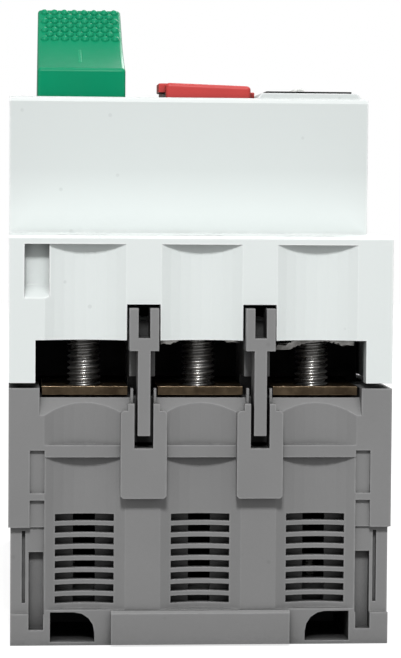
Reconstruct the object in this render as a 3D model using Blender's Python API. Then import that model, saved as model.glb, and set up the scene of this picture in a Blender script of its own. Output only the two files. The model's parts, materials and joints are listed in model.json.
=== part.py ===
"""Three-pole push-button motor protection breaker, modelled as its separate pieces.

Frame: X across the poles, Y along the tall side (terminals at both ends), Z from the
rear rail plane (z = 0) to the operating front. The origin is the middle of the rear.
"""
import math

import bmesh
import bpy
from mathutils import Vector

MM = 0.001

# ---- Driving dimensions of the enclosure ----
WIDTH = 45.0 * MM
LOWER_WIDTH = 44.5 * MM
LENGTH = 89.0 * MM
GAP = 0.3 * MM
POLE_PITCH = 13.6 * MM
POLES = (-POLE_PITCH, 0.0, POLE_PITCH)
POLE_NAMES = ("left", "middle", "right")
PARTITIONS = (-POLE_PITCH / 2, POLE_PITCH / 2)
ENDS = {"load": -1, "line": 1}
HALF_W = WIDTH / 2
LOWER_HALF_W = LOWER_WIDTH / 2
HALF_L = LENGTH / 2
PAST = 2.0 * MM          # how far a cutter runs past the surface it opens

# ---- Levels above the rear plane ----
SLOT_CEILING = 3.8 * MM
RAIL_FLOOR = 5.6 * MM
RAIL_RELIEF = 5.9 * MM
BASE_FLOOR = 7.4 * MM
STEP_LEVEL = 13.9 * MM
RIB_LOW = 22.1 * MM
RIB_HIGH = 23.55 * MM
SHELF_UNDER = 23.6 * MM
TERMINAL_SHELF = 29.0 * MM
PLATE_LOW = 29.3 * MM
PLATE_HIGH = 30.3 * MM
BASE_TOP = 30.2 * MM
COVER_BOTTOM = 30.8 * MM
WINDOW_TOP = 35.8 * MM
BARRIER_SLOT_TOP = 40.0 * MM
GROOVE_TOP = 47.0 * MM
SHOULDER = 48.0 * MM
FRONT = 65.0 * MM
PLATEAU = 65.7 * MM
CEILING = 63.0 * MM

# ---- Enclosure walls ----
SIDE_WALL = 1.8 * MM
END_WALL = 2.6 * MM
SHOULDER_WALL = 2.0 * MM
BLOCK_HALF_L = 22.5 * MM
EDGE_ROUND = 0.6 * MM
POST_WIDTH = 3.1 * MM
END_NOTCH_X = (17.8 * MM, 20.7 * MM)
END_NOTCH_Z = (39.2 * MM, 42.2 * MM)
GROOVE_HALF_CHORD = 4.75 * MM
GROOVE_DEPTH = 1.3 * MM
GROOVE_STEPS = 8
GROOVE_LOW = 4.2 * MM
RAIL_HALF = 17.8 * MM
RAIL_SEAT_HALF = 15.9 * MM
HOOK_REACH = 16.2 * MM
HOOK_LOW = 2.2 * MM
HOOK_HIGH = 4.2 * MM
HOOK_HALF_W = 10.0 * MM
INNER_HALF_W = HALF_W - SIDE_WALL
INNER_END = HALF_L - END_WALL
CHAMBER_END = 29.6 * MM
SHELF_INNER = 33.0 * MM

# ---- Recesses in the sides and in the front ----
SIDE_SNAPS = ((-21.5 * MM, -15.5 * MM), (15.5 * MM, 21.5 * MM))
SNAP_BASE_Z = (26.4 * MM, 32.2 * MM)
SNAP_COVER_Z = (28.8 * MM, 34.6 * MM)
SIDE_DEPTH = 0.7 * MM
SIDE_LABEL_Y = (-13.0 * MM, 13.0 * MM)
SIDE_LABEL_Z = (38.0 * MM, 54.0 * MM)
SIDE_WINDOWS_Y = ((-18.6 * MM, -15.2 * MM), (15.2 * MM, 18.6 * MM))
SIDE_WINDOW_Z = (50.5 * MM, 58.5 * MM)
BASE_PANEL_Y = (-11.0 * MM, 11.0 * MM)
BASE_PANEL_Z = (15.6 * MM, 25.4 * MM)
FRONT_LABEL_X = (-18.6 * MM, 7.4 * MM)
FRONT_LABEL_Y = (10.0 * MM, 19.6 * MM)
LABEL_DEPTH = 0.35 * MM

# ---- Vents in the end walls ----
VENT_WIDTH = 6.9 * MM
VENT_SLOTS = 8
VENT_PITCH = 1.385 * MM
VENT_HEIGHT = 0.83 * MM
VENT_FIRST = 4.85 * MM
VENT_DEPTH = 1.0 * MM
VENT_CORE = 2.6 * MM

# ---- Rear corner openings and side details of the base ----
CORNER_INNER = 12.4 * MM
CORNER_OUTER = 17.6 * MM
CORNER_TOP = 3.9 * MM
CORNER_DEPTH = 13.5 * MM
CORNER_SKIN = 0.4 * MM
CORNER_RADIUS = 2.4 * MM
SIDE_SLOT = (18.4 * MM, 20.1 * MM)
SIDE_SLOT_Z = (1.8 * MM, 10.9 * MM)
SIDE_SLOT_DEPTH = 2.0 * MM
SLIT = (20.5 * MM, 20.9 * MM)
SLIT_Z = (4.9 * MM, 13.4 * MM)
SIDE_PANEL = (18.3 * MM, 20.0 * MM)
SIDE_PANEL_HIGH_Z = (17.9 * MM, 22.9 * MM)
SIDE_PANEL_LOW_Z = (13.4 * MM, 17.05 * MM)
SIDE_STEP = (18.3 * MM, HALF_W + PAST)
SIDE_STEP_Z = (3.7 * MM, 13.85 * MM)
SIDE_STEP_DEPTH = 0.8 * MM
SLIT_DEPTH = 1.4 * MM
SHALLOW = 0.5 * MM

# ---- Terminals ----
SCREW_Y = 38.5 * MM
PLATE_HALF_W = 5.0 * MM
PLATE_OUTER_END = 42.7 * MM
PLATE_INNER_END = 6.0 * MM
BAY_HALF_W = 5.3 * MM
FUNNEL_OUT = 45.5 * MM
FUNNEL_LOW = 25.9 * MM
THREAD_RADIUS = 1.98 * MM
THREAD_CLEAR = 2.4 * MM
HEAD_RADIUS = 3.4 * MM
HEAD_HEIGHT = 2.6 * MM
HEAD_SLOT = 0.9 * MM
HEAD_SLOT_DEPTH = 1.2 * MM
SCREW_TIP = 26.0 * MM
TIP_CHAMFER = 0.6 * MM
WASHER_HALF_W = 4.7 * MM
WASHER_FLAT = 2.4 * MM
WASHER_THICK = 0.8 * MM
WASHER_DISH = 0.9 * MM
WASHER_Y = (35.0 * MM, 42.0 * MM)
WASHER_EDGE_Z = (36.0 * MM, 35.2 * MM, 34.6 * MM)
DRIVER_HOLE = 3.2 * MM
PARTITION_HALF = 1.5 * MM
PARTITION_Y = (30.2 * MM, 41.5 * MM)
PARTITION_TOP = 38.0 * MM
PARTITION_UNDERCUT = (35.5 * MM, 31.4 * MM)
BARRIER_SLOT_HALF = 1.95 * MM

# ---- Barriers and their forked clips ----
BARRIER_OUTER = 46.0 * MM
BARRIER_INNER = 42.0 * MM
BARRIER_HALF = 1.72 * MM
BARRIER_FORK = 0.68 * MM
STEM_HALF = 0.73 * MM
STEM_BOTTOM = 24.75 * MM
HEAD_BOTTOM = 34.65 * MM
FORK_BOTTOM = 36.15 * MM
HEAD_TOP = 39.6 * MM
CLIP_HALF = 2.7 * MM
CLIP_SLOT_HALF = 1.1 * MM
CLIP_BOTTOM = 17.4 * MM
CLIP_SLOT_BOTTOM = 23.3 * MM
CLIP_TOP = 27.7 * MM
CLIP_ARM = (1.85 * MM, 28.5 * MM)
CLIP_BACK = 44.8 * MM
TONGUE_HALF = 1.6 * MM
TONGUE_Z = (18.9 * MM, 22.3 * MM)
TONGUE_END = 43.4 * MM
NOTCH_BACK = 41.8 * MM

# ---- Front controls ----
START_X = (-18.95 * MM, -7.7 * MM)
START_TAPER = 1.1 * MM
START_Y = (-14.5 * MM, 3.5 * MM)
START_SKIRT = 62.3 * MM
START_CREASE = 68.9 * MM
START_KNURL = (-4.5 * MM, 72.9 * MM)
START_TOP = 77.7 * MM
START_TRAVEL = 5.0 * MM
STOP_X = (-2.8 * MM, 8.0 * MM)
STOP_Y = (-19.0 * MM, -3.0 * MM)
STOP_BOTTOM = 59.2 * MM
STOP_TOP = (67.0 * MM, 66.7 * MM)
STOP_TAB = (0.6 * MM, 65.9 * MM, -12.0 * MM, -6.0 * MM)
STOP_RISE = 2.5 * MM
BUTTON_GAP = 0.45 * MM
FLANGE = 1.0 * MM
FLANGE_THICK = 1.2 * MM
STEM_RADIUS = 1.8 * MM
SPRING_WELL = 4.2 * MM
SPRING_WELL_HEIGHT = 5.8 * MM
START_STEM_END = 56.4 * MM
STOP_STEM_END = 55.0 * MM
PLATEAU_X = (8.5 * MM, 9.2 * MM, 21.2 * MM, 21.8 * MM)
PLATEAU_Y = (-21.6 * MM, 8.0 * MM)
SCALE_X = (9.5 * MM, 20.9 * MM)
SCALE_Y = (-21.0 * MM, 6.0 * MM)
SCALE_POCKET = 65.15 * MM
SCALE_TOP = 65.95 * MM
DIAL_CENTER = (15.0 * MM, -8.5 * MM)
DIAL_RADIUS = 4.2 * MM
DIAL_HOLE = 4.6 * MM
DIAL_FACE = 66.0 * MM
DIAL_COLLAR = 5.4 * MM
DIAL_HUB_TOP = 66.8 * MM
DIAL_HUB_HALF_W = 1.05 * MM
DIAL_HUB_HALF_L = 3.4 * MM
DIAL_SHAFT = 2.0 * MM
DIAL_SHAFT_END = 55.0 * MM
TEST_X = (-16.6 * MM, -9.6 * MM)
TEST_Y = (-20.2 * MM, -16.4 * MM)
TEST_KNOB_X = (-14.3 * MM, -12.3 * MM)
TEST_SLOT_X = (-14.7 * MM, -9.9 * MM)
TEST_SLOT_HALF = 1.4 * MM
TEST_KNOB_TOP = 64.8 * MM

# ---- Rail clip ----
CLIP_PLATE_HALF = 9.8 * MM
CLIP_FLANGE_HALF = 10.8 * MM
CLIP_PLATE_Z = (1.9 * MM, 3.5 * MM)
CLIP_FLANGE_Z = (2.2 * MM, 3.0 * MM)
CLIP_FLANGE_END = -38.5 * MM
CLIP_SLOT_W = 10.1 * MM
CLIP_GROOVE_W = 11.1 * MM
CLIP_GROOVE_END = -42.2 * MM
CLIP_TAB = (10.5 * MM, 0.2 * MM, 4.15 * MM)
CLIP_TAB_Y = (-45.6 * MM, -44.8 * MM)
CLIP_SPRING = (0.8 * MM, 7)
CLIP_NOSE = -16.3 * MM
CLIP_WINDOW = (2.6 * MM, -38.0 * MM, -22.0 * MM)
CLIP_BOSS = (2.0 * MM, -37.6 * MM, -36.4 * MM)
CLIP_BOSS_LOW = 1.2 * MM

# ---- Inner body and mechanism ----
CHAMBER_HALF_W = 20.3 * MM
CHAMBER_Z = (7.8 * MM, 44.0 * MM)
POCKET_HALF_W = 5.6 * MM
POCKET_HALF_L = 25.8 * MM
POCKET_FLOOR = 11.0 * MM
CHASSIS_SCREWS = (15.0 * MM, 27.7 * MM)
CHASSIS_RADIUS = 1.0 * MM
CHASSIS_CLEAR = 1.3 * MM
CHASSIS_HEAD = 2.2 * MM
CHASSIS_HEAD_Z = (0.4 * MM, 2.1 * MM)
CHASSIS_END = 20.0 * MM
CONTACT_Z = (33.2 * MM, 34.2 * MM)
CONTACT_HALF_L = 9.5 * MM
CONTACT_HALF_W = 2.4 * MM
CARRIER_Z = (34.5 * MM, 46.4 * MM, 49.0 * MM)
CARRIER_HALF_X = 18.6 * MM
CARRIER_HALF_Y = 2.4 * MM
CARRIER_LEG = 1.6 * MM
COIL_Y = -14.0 * MM
COIL_Z = (11.4 * MM, 27.6 * MM)
COIL_RADIUS = 4.6 * MM
COIL_FLANGE = 5.1 * MM
COIL_CORE = 1.6 * MM
CHUTE_Y = (11.0 * MM, 23.0 * MM)
CHUTE_Z = (31.2 * MM, 43.4 * MM)
CHUTE_HALF_W = 5.1 * MM
CHUTE_PLATES = 6
CHUTE_PLATE = 0.9 * MM
STRIP_Z = (30.6 * MM, 31.6 * MM, 42.8 * MM)
STRIP_Y = (-24.5 * MM, -20.0 * MM, -19.0 * MM)
STRIP_HALF_W = 2.2 * MM
TRIP_Y = (-18.2 * MM, -17.2 * MM)
TRIP_Z = (41.5 * MM, 45.8 * MM, 47.4 * MM)
TRIP_AXIS_Z = 46.6 * MM
TRIP_FINGER = 1.0 * MM
DECK_Z = (49.8 * MM, 50.7 * MM)
DECK_X = (-19.0 * MM, 9.8 * MM)
DECK_Y = (-15.0 * MM, 12.0 * MM)
CAGE_X = (-4.6 * MM, 9.8 * MM)
CAGE_SHEET = 0.8 * MM
CAGE_TOP = (56.6 * MM, 57.3 * MM)
FOOT_BOTTOM = 44.3 * MM
FOOT_Y = ((-15.0 * MM, -11.0 * MM), (8.0 * MM, 12.0 * MM))
FOOT_HALF = 0.8 * MM
LEVER_X = (-3.4 * MM, 8.6 * MM)
LEVER_Y = -14.0 * MM
LEVER_Z = (52.4 * MM, 53.8 * MM)
LEVER_PIVOT = (8.0 * MM, 53.1 * MM)
LEVER_HUB = 1.7 * MM
PIN_RADIUS = 0.8 * MM
PIN_CLEAR = 1.1 * MM
PIN_X = (-5.4 * MM, 10.6 * MM)

# ---- Springs: coil radius, wire radius, turns ----
WIRE = 0.3 * MM
START_SPRING_TURNS = 6
STOP_SPRING_TURNS = 3
CONTACT_SPRING_TURNS = 8
SPRING_SIDES = 5
SPRING_STEPS = 10

# ---- Facets of round pieces ----
ROUND_STEPS = 16
HOLE_STEPS = 12

# ---- Finishes: colour, roughness, metallic ----
FINISHES = {
    "white_plastic": ((0.78, 0.81, 0.80), 0.45, 0.0),
    "grey_plastic": ((0.23, 0.23, 0.23), 0.55, 0.0),
    "dark_plastic": ((0.02, 0.02, 0.02), 0.50, 0.0),
    "green_plastic": ((0.01, 0.32, 0.14), 0.40, 0.0),
    "red_plastic": ((0.55, 0.04, 0.05), 0.40, 0.0),
    "pale_plastic": ((0.65, 0.66, 0.64), 0.45, 0.0),
    "steel": ((0.60, 0.60, 0.58), 0.30, 1.0),
    "brass": ((0.50, 0.34, 0.17), 0.35, 1.0),
    "copper": ((0.62, 0.30, 0.18), 0.35, 1.0),
}


def clear_scene():
    """Empty the file, so that only the breaker is in it."""
    for item in list(bpy.data.objects):
        bpy.data.objects.remove(item, do_unlink=True)


def finish_material(finish):
    """One Principled material for each finish."""
    material = bpy.data.materials.get(finish)
    if material is None:
        colour, roughness, metallic = FINISHES[finish]
        material = bpy.data.materials.new(finish)
        material.use_nodes = True
        shader = material.node_tree.nodes["Principled BSDF"]
        shader.inputs["Base Color"].default_value = (*colour, 1.0)
        shader.inputs["Roughness"].default_value = roughness
        shader.inputs["Metallic"].default_value = metallic
        material.diffuse_color = (*colour, 1.0)
    return material


def place(axis, u, v, w):
    """Turn outline coordinates (u, v) and a distance w along axis into a point."""
    if axis == "X":
        return Vector((w, u, v))
    if axis == "Y":
        return Vector((u, w, v))
    return Vector((u, v, w))


class Shape:
    """Closed pieces gathered in one mesh, before it becomes an object."""

    def __init__(self):
        self.bm = bmesh.new()

    def prism(self, axis, outline, low, high):
        """Extrude a closed outline along an axis."""
        bottom = [self.bm.verts.new(place(axis, u, v, low)) for u, v in outline]
        top = [self.bm.verts.new(place(axis, u, v, high)) for u, v in outline]
        self.bm.faces.new(bottom)
        self.bm.faces.new(top)
        self.band(bottom, top)
        return self

    def box(self, x, y, z):
        """A box between two values on each axis."""
        corners = [(x[0], y[0]), (x[1], y[0]), (x[1], y[1]), (x[0], y[1])]
        return self.prism("Z", corners, z[0], z[1])

    def rod(self, axis, centre, radius, low, high, steps=HOLE_STEPS):
        """A round bar or hole along an axis."""
        return self.prism(axis, circle(centre, radius, steps), low, high)

    def turned(self, centre, profile, steps=ROUND_STEPS):
        """Revolve (radius, height) points about a vertical axis; radius 0 closes an end."""
        rings = []
        for radius, height in profile:
            points = [(centre[0], centre[1])] if radius == 0.0 else circle(centre, radius, steps)
            rings.append([self.bm.verts.new((x, y, height)) for x, y in points])
        for lower, upper in zip(rings, rings[1:]):
            self.band(lower, upper)
        return self

    def band(self, lower, upper):
        """Faces between two rings, or between a ring and an end point."""
        count = max(len(lower), len(upper))
        for index in range(count):
            following = (index + 1) % count
            if len(lower) == 1:
                corners = (lower[0], upper[following], upper[index])
            elif len(upper) == 1:
                corners = (lower[index], lower[following], upper[0])
            else:
                corners = (lower[index], lower[following], upper[following], upper[index])
            self.bm.faces.new(corners)

    def tube(self, path, radius, sides):
        """Sweep a round wire along a list of points."""
        rings = []
        for index, point in enumerate(path):
            before = path[max(index - 1, 0)]
            after = path[min(index + 1, len(path) - 1)]
            forward = (after - before).normalized()
            side = forward.orthogonal().normalized()
            if rings:
                side = (last_side - forward * last_side.dot(forward)).normalized()
            last_side = side
            up = forward.cross(side)
            ring = []
            for step in range(sides):
                angle = 2 * math.pi * step / sides
                offset = side * math.cos(angle) + up * math.sin(angle)
                ring.append(self.bm.verts.new(point + offset * radius))
            rings.append(ring)
        for lower, upper in zip(rings, rings[1:]):
            self.band(lower, upper)
        self.bm.faces.new(rings[0])
        self.bm.faces.new(rings[-1])
        return self

    def mesh(self, name):
        """Write the gathered pieces into a mesh, with their faces outwards."""
        bmesh.ops.recalc_face_normals(self.bm, faces=self.bm.faces)
        mesh = bpy.data.meshes.new(name)
        self.bm.to_mesh(mesh)
        self.bm.free()
        return mesh


def circle(centre, radius, steps):
    """Points around a full circle, with a flat at the bottom."""
    points = []
    for step in range(steps):
        angle = 2 * math.pi * (step + 0.5) / steps
        points.append((centre[0] + radius * math.cos(angle), centre[1] + radius * math.sin(angle)))
    return points


def arc(centre, radius, start, end, steps):
    """Points along an arc between two angles, ends included."""
    points = []
    for step in range(steps + 1):
        angle = start + (end - start) * step / steps
        points.append((centre[0] + radius * math.cos(angle), centre[1] + radius * math.sin(angle)))
    return points


def helix(centre, axis, radius, low, high, turns):
    """Points of a coil spring's wire along an axis."""
    steps = turns * SPRING_STEPS
    path = []
    for step in range(steps + 1):
        angle = 2 * math.pi * step / SPRING_STEPS
        u = centre[0] + radius * math.cos(angle)
        v = centre[1] + radius * math.sin(angle)
        path.append(place(axis, u, v, low + (high - low) * step / steps))
    return path


def make(name, shape, finish, origin=(0.0, 0.0, 0.0), smooth=True):
    """Make one named piece, with its origin on its joint's axis."""
    origin = Vector(origin)
    for vertex in shape.bm.verts:
        vertex.co -= origin
    mesh = shape.mesh(name)
    mesh.materials.append(finish_material(finish))
    if smooth:
        mesh.shade_smooth()
        mesh.set_sharp_from_angle(angle=math.radians(35))
    piece = bpy.data.objects.new(name, mesh)
    piece.location = origin
    bpy.context.scene.collection.objects.link(piece)
    return piece


def combine(piece, shape, operation):
    """Cut a shape from a piece, or add it, with an exact Boolean."""
    label = f"{piece.name}_{operation.lower()}_{len(piece.modifiers)}"
    tool = bpy.data.objects.new(label, shape.mesh(label))
    tool.hide_render = True
    tool.display_type = "WIRE"
    bpy.context.scene.collection.objects.link(tool)
    change = piece.modifiers.new(label, "BOOLEAN")
    change.operation = operation
    change.object = tool
    change.solver = "EXACT"


def cut(piece, shape):
    combine(piece, shape, "DIFFERENCE")


def add(piece, shape):
    combine(piece, shape, "UNION")


def span(centre, half):
    """The two ends of a length centred on a value."""
    return (centre - half, centre + half)


def outward(end, near, far):
    """An interval on Y, mirrored to the terminal end that is asked for."""
    return tuple(sorted((end * near, end * far)))


def groove_outline(pole, end):
    """Plan outline that cuts one shallow round groove into an end wall."""
    radius = (GROOVE_HALF_CHORD ** 2 + GROOVE_DEPTH ** 2) / (2 * GROOVE_DEPTH)
    centre_y = HALF_L - GROOVE_DEPTH + radius
    reach = math.asin(GROOVE_HALF_CHORD / radius)
    middle = -math.pi / 2
    points = arc((pole, centre_y), radius, middle - reach, middle + reach, GROOVE_STEPS)
    points.append((pole + GROOVE_HALF_CHORD, HALF_L + PAST))
    points.append((pole - GROOVE_HALF_CHORD, HALF_L + PAST))
    return [(x, end * y) for x, y in points]


def base_outline():
    """Section of the rear housing across the poles, with the step in its sides."""
    return [(-LOWER_HALF_W, 0.0), (LOWER_HALF_W, 0.0), (LOWER_HALF_W, STEP_LEVEL),
            (HALF_W, STEP_LEVEL), (HALF_W, BASE_TOP), (-HALF_W, BASE_TOP),
            (-HALF_W, STEP_LEVEL), (-LOWER_HALF_W, STEP_LEVEL)]


def base_cavity():
    """Side section of the space inside the rear housing, under the terminal shelves."""
    well = RAIL_HALF + SIDE_WALL
    over = BASE_TOP + PAST
    half = [(well, BASE_FLOOR), (well, RAIL_FLOOR), (INNER_END, RAIL_FLOOR),
            (INNER_END, SHELF_UNDER), (SHELF_INNER, SHELF_UNDER), (SHELF_INNER, over)]
    return half + [(-y, z) for y, z in reversed(half)]


def funnel_outline(end):
    """Side section of a terminal bay and of the slope that guides a wire into it."""
    over = BASE_TOP + PAST
    points = [(SHELF_INNER - PAST, TERMINAL_SHELF), (PLATE_OUTER_END, TERMINAL_SHELF),
              (FUNNEL_OUT, FUNNEL_LOW), (FUNNEL_OUT, over), (SHELF_INNER - PAST, over)]
    return [(end * y, z) for y, z in points]


def rail_clip_slot():
    """The slot that the rail clip slides in, with side grooves that stop short of the end."""
    inner_end = -RAIL_HALF + PAST
    slot = Shape().box(span(0.0, CLIP_SLOT_W), (-HALF_L - PAST, inner_end), (-PAST, SLOT_CEILING))
    grooves = Shape().box(span(0.0, CLIP_GROOVE_W), (CLIP_GROOVE_END, inner_end),
                          (CLIP_FLANGE_Z[0] - GAP, CLIP_FLANGE_Z[1] + GAP))
    return slot, grooves


def mirrored(side, edges):
    """A pair of edges on the left or the right, in rising order."""
    return tuple(sorted((side * edges[0], side * edges[1])))


def corner_outline(side):
    """Deep pocket at a rear corner, with one quarter-round upper corner."""
    centre = (CORNER_INNER + CORNER_RADIUS, CORNER_TOP - CORNER_RADIUS)
    points = arc(centre, CORNER_RADIUS, math.pi, math.pi / 2, GROOVE_STEPS // 2)
    points += [(CORNER_OUTER, CORNER_TOP), (CORNER_OUTER, CORNER_SKIN), (CORNER_INNER, CORNER_SKIN)]
    return [(side * x, z) for x, z in points]


def vent_cutters(end):
    """The slots of three vent columns, and the core behind them."""
    slots = Shape()
    cores = Shape()
    top = VENT_FIRST + (VENT_SLOTS - 1) * VENT_PITCH + VENT_HEIGHT
    for pole in POLES:
        for index in range(VENT_SLOTS):
            low = VENT_FIRST + index * VENT_PITCH
            slots.box(span(pole, VENT_WIDTH / 2),
                      outward(end, HALF_L - GROOVE_DEPTH - VENT_DEPTH, HALF_L + PAST),
                      (low, low + VENT_HEIGHT))
        inside = HALF_L - GROOVE_DEPTH - VENT_DEPTH + GAP
        cores.box(span(pole, VENT_CORE / 2), outward(end, INNER_END - PAST, inside),
                  (VENT_FIRST - GAP, top - GAP / 3))
    return slots, cores


def end_details(base, end):
    """Grooves, barrier notches, side slots and vents of one end wall."""
    grooves = Shape()
    for pole in POLES:
        outline = groove_outline(pole, end)
        grooves.prism("Z", outline, GROOVE_LOW, RIB_LOW)
        grooves.prism("Z", outline, RIB_HIGH, BASE_TOP + PAST)
    cut(base, grooves)
    bays = Shape()
    holes = Shape()
    for pole in POLES:
        bays.prism("X", funnel_outline(end), pole - BAY_HALF_W, pole + BAY_HALF_W)
        holes.rod("Z", (pole, end * SCREW_Y), THREAD_CLEAR, SHELF_UNDER - PAST,
                  TERMINAL_SHELF + PAST)
    cut(base, bays)
    cut(base, holes)
    notches = Shape()
    sockets = Shape()
    for wall in PARTITIONS:
        notches.box(span(wall, PARTITION_HALF - GAP), outward(end, NOTCH_BACK, HALF_L + PAST),
                    (CLIP_SLOT_BOTTOM, BASE_TOP + PAST))
        sockets.box(span(wall, TONGUE_HALF + GAP), outward(end, TONGUE_END - GAP, HALF_L + PAST),
                    (TONGUE_Z[0] - GAP, TONGUE_Z[1] + GAP))
    cut(base, notches)
    cut(base, sockets)
    steps = Shape()
    sides = Shape()
    for side in (-1, 1):
        steps.box(mirrored(side, SIDE_STEP), outward(end, HALF_L - SIDE_STEP_DEPTH, HALF_L + PAST),
                  SIDE_STEP_Z)
        for across, up, depth in ((SIDE_SLOT, SIDE_SLOT_Z, SIDE_SLOT_DEPTH),
                                  (SLIT, SLIT_Z, SLIT_DEPTH),
                                  (SIDE_PANEL, SIDE_PANEL_HIGH_Z, SHALLOW),
                                  (SIDE_PANEL, SIDE_PANEL_LOW_Z, SHALLOW)):
            sides.box(mirrored(side, across), outward(end, HALF_L - depth, HALF_L + PAST), up)
        sides.prism("Y", corner_outline(side), *outward(end, HALF_L - CORNER_DEPTH, HALF_L + PAST))
    cut(base, steps)
    cut(base, sides)
    slots, cores = vent_cutters(end)
    cut(base, cores)
    cut(base, slots)


def base_housing():
    """Rear housing: a tray with terminal shelves, pole partitions and the rail channel."""
    base = make("base_housing", Shape().prism("Y", base_outline(), -HALF_L, HALF_L), "grey_plastic")
    cut(base, Shape().prism("X", base_cavity(), -INNER_HALF_W, INNER_HALF_W))
    walls = Shape()
    undercuts = Shape()
    for wall in PARTITIONS:
        for end in ENDS.values():
            walls.box(span(wall, PARTITION_HALF), outward(end, *PARTITION_Y),
                      (TERMINAL_SHELF - PAST, PARTITION_TOP))
            undercuts.box(span(wall, PARTITION_HALF + GAP),
                          outward(end, PARTITION_UNDERCUT[0], PARTITION_Y[1] + PAST),
                          (TERMINAL_SHELF, PARTITION_UNDERCUT[1]))
    channel = (-HALF_W - PAST, HALF_W + PAST)
    cut(base, Shape().box(channel, span(0.0, RAIL_HALF), (-PAST, RAIL_FLOOR)))
    reliefs = Shape()
    for end in ENDS.values():
        reliefs.box(channel, outward(end, RAIL_SEAT_HALF, RAIL_HALF), (RAIL_FLOOR - PAST, RAIL_RELIEF))
    cut(base, reliefs)
    for end in ENDS.values():
        end_details(base, end)
    add(base, walls)
    cut(base, undercuts)
    for cutter in rail_clip_slot():
        cut(base, cutter)
    fixed = Shape()
    fixed.box(span(0.0, HOOK_HALF_W), (HOOK_REACH, RAIL_HALF + PAST), (HOOK_LOW, HOOK_HIGH))
    fixed.box(span(0.0, CLIP_BOSS[0]), CLIP_BOSS[1:], (CLIP_BOSS_LOW, SLOT_CEILING + GAP))
    add(base, fixed)
    screws = Shape()
    heads = Shape()
    for x, y in chassis_screw_places():
        screws.rod("Z", (x, y), CHASSIS_CLEAR, -PAST, BASE_FLOOR)
        heads.rod("Z", (x, y), CHASSIS_HEAD + GAP, -PAST, CHASSIS_HEAD_Z[1] + GAP)
    cut(base, heads)
    cut(base, screws)
    snaps = [(along, SNAP_BASE_Z, SIDE_DEPTH) for along in SIDE_SNAPS]
    side_recesses(base, snaps + [(BASE_PANEL_Y, BASE_PANEL_Z, LABEL_DEPTH)])
    return base


def side_recesses(piece, boxes):
    """Cut recesses into both sides: each is its Y interval, its Z interval and its depth."""
    recesses = Shape()
    for side in (-1, 1):
        for along, up, depth in boxes:
            across = tuple(sorted((side * (HALF_W - depth), side * (HALF_W + PAST))))
            recesses.box(across, along, up)
    cut(piece, recesses)


def chassis_screw_places():
    x, y = CHASSIS_SCREWS
    return [(-x, -y), (x, -y), (-x, y), (x, y)]


def cover_outline():
    """Side section of the front housing: low shoulders and a tall control block."""
    r = EDGE_ROUND
    half = [(HALF_L, COVER_BOTTOM), (HALF_L, SHOULDER - r / 2), (HALF_L - r / 2, SHOULDER),
            (BLOCK_HALF_L, SHOULDER), (BLOCK_HALF_L, FRONT - r),
            (BLOCK_HALF_L - r * 0.3, FRONT - r * 0.3), (BLOCK_HALF_L - r, FRONT)]
    return half + [(-y, z) for y, z in reversed(half)]


def cover_cavity():
    """Side section of the space inside the front housing."""
    block = BLOCK_HALF_L - SIDE_WALL
    end = HALF_L - END_WALL + GAP
    half = [(end, COVER_BOTTOM - PAST), (end, SHOULDER - SHOULDER_WALL),
            (block, SHOULDER - SHOULDER_WALL), (block, CEILING)]
    return half + [(-y, z) for y, z in reversed(half)]


def cover_end(cover, end):
    """Grooves, terminal window, barrier slots and screwdriver holes of one end."""
    grooves = Shape()
    holes = Shape()
    for pole in POLES:
        grooves.prism("Z", groove_outline(pole, end), COVER_BOTTOM - PAST, GROOVE_TOP)
        holes.rod("Z", (pole, end * SCREW_Y), DRIVER_HOLE, SHOULDER - 2 * SHOULDER_WALL,
                  SHOULDER + PAST)
    cut(cover, grooves)
    cut(cover, holes)
    through = outward(end, INNER_END - PAST, HALF_L + PAST)
    half = HALF_W - POST_WIDTH
    window = Shape().box(span(0.0, half), through, (COVER_BOTTOM - PAST, WINDOW_TOP))
    cut(cover, window)
    slots = Shape()
    for wall in PARTITIONS:
        slots.box(span(wall, BARRIER_SLOT_HALF), through, (WINDOW_TOP - PAST, BARRIER_SLOT_TOP))
    cut(cover, slots)
    lip = HALF_L - END_WALL + 2 * GAP
    low, high = END_NOTCH_Z
    pocket = [(HALF_L + PAST, low), (lip, high), (lip, GROOVE_TOP), (HALF_L + PAST, GROOVE_TOP)]
    notch = Shape().prism("X", [(end * y, z) for y, z in pocket], *outward(end, *END_NOTCH_X))
    cut(cover, notch)


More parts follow.
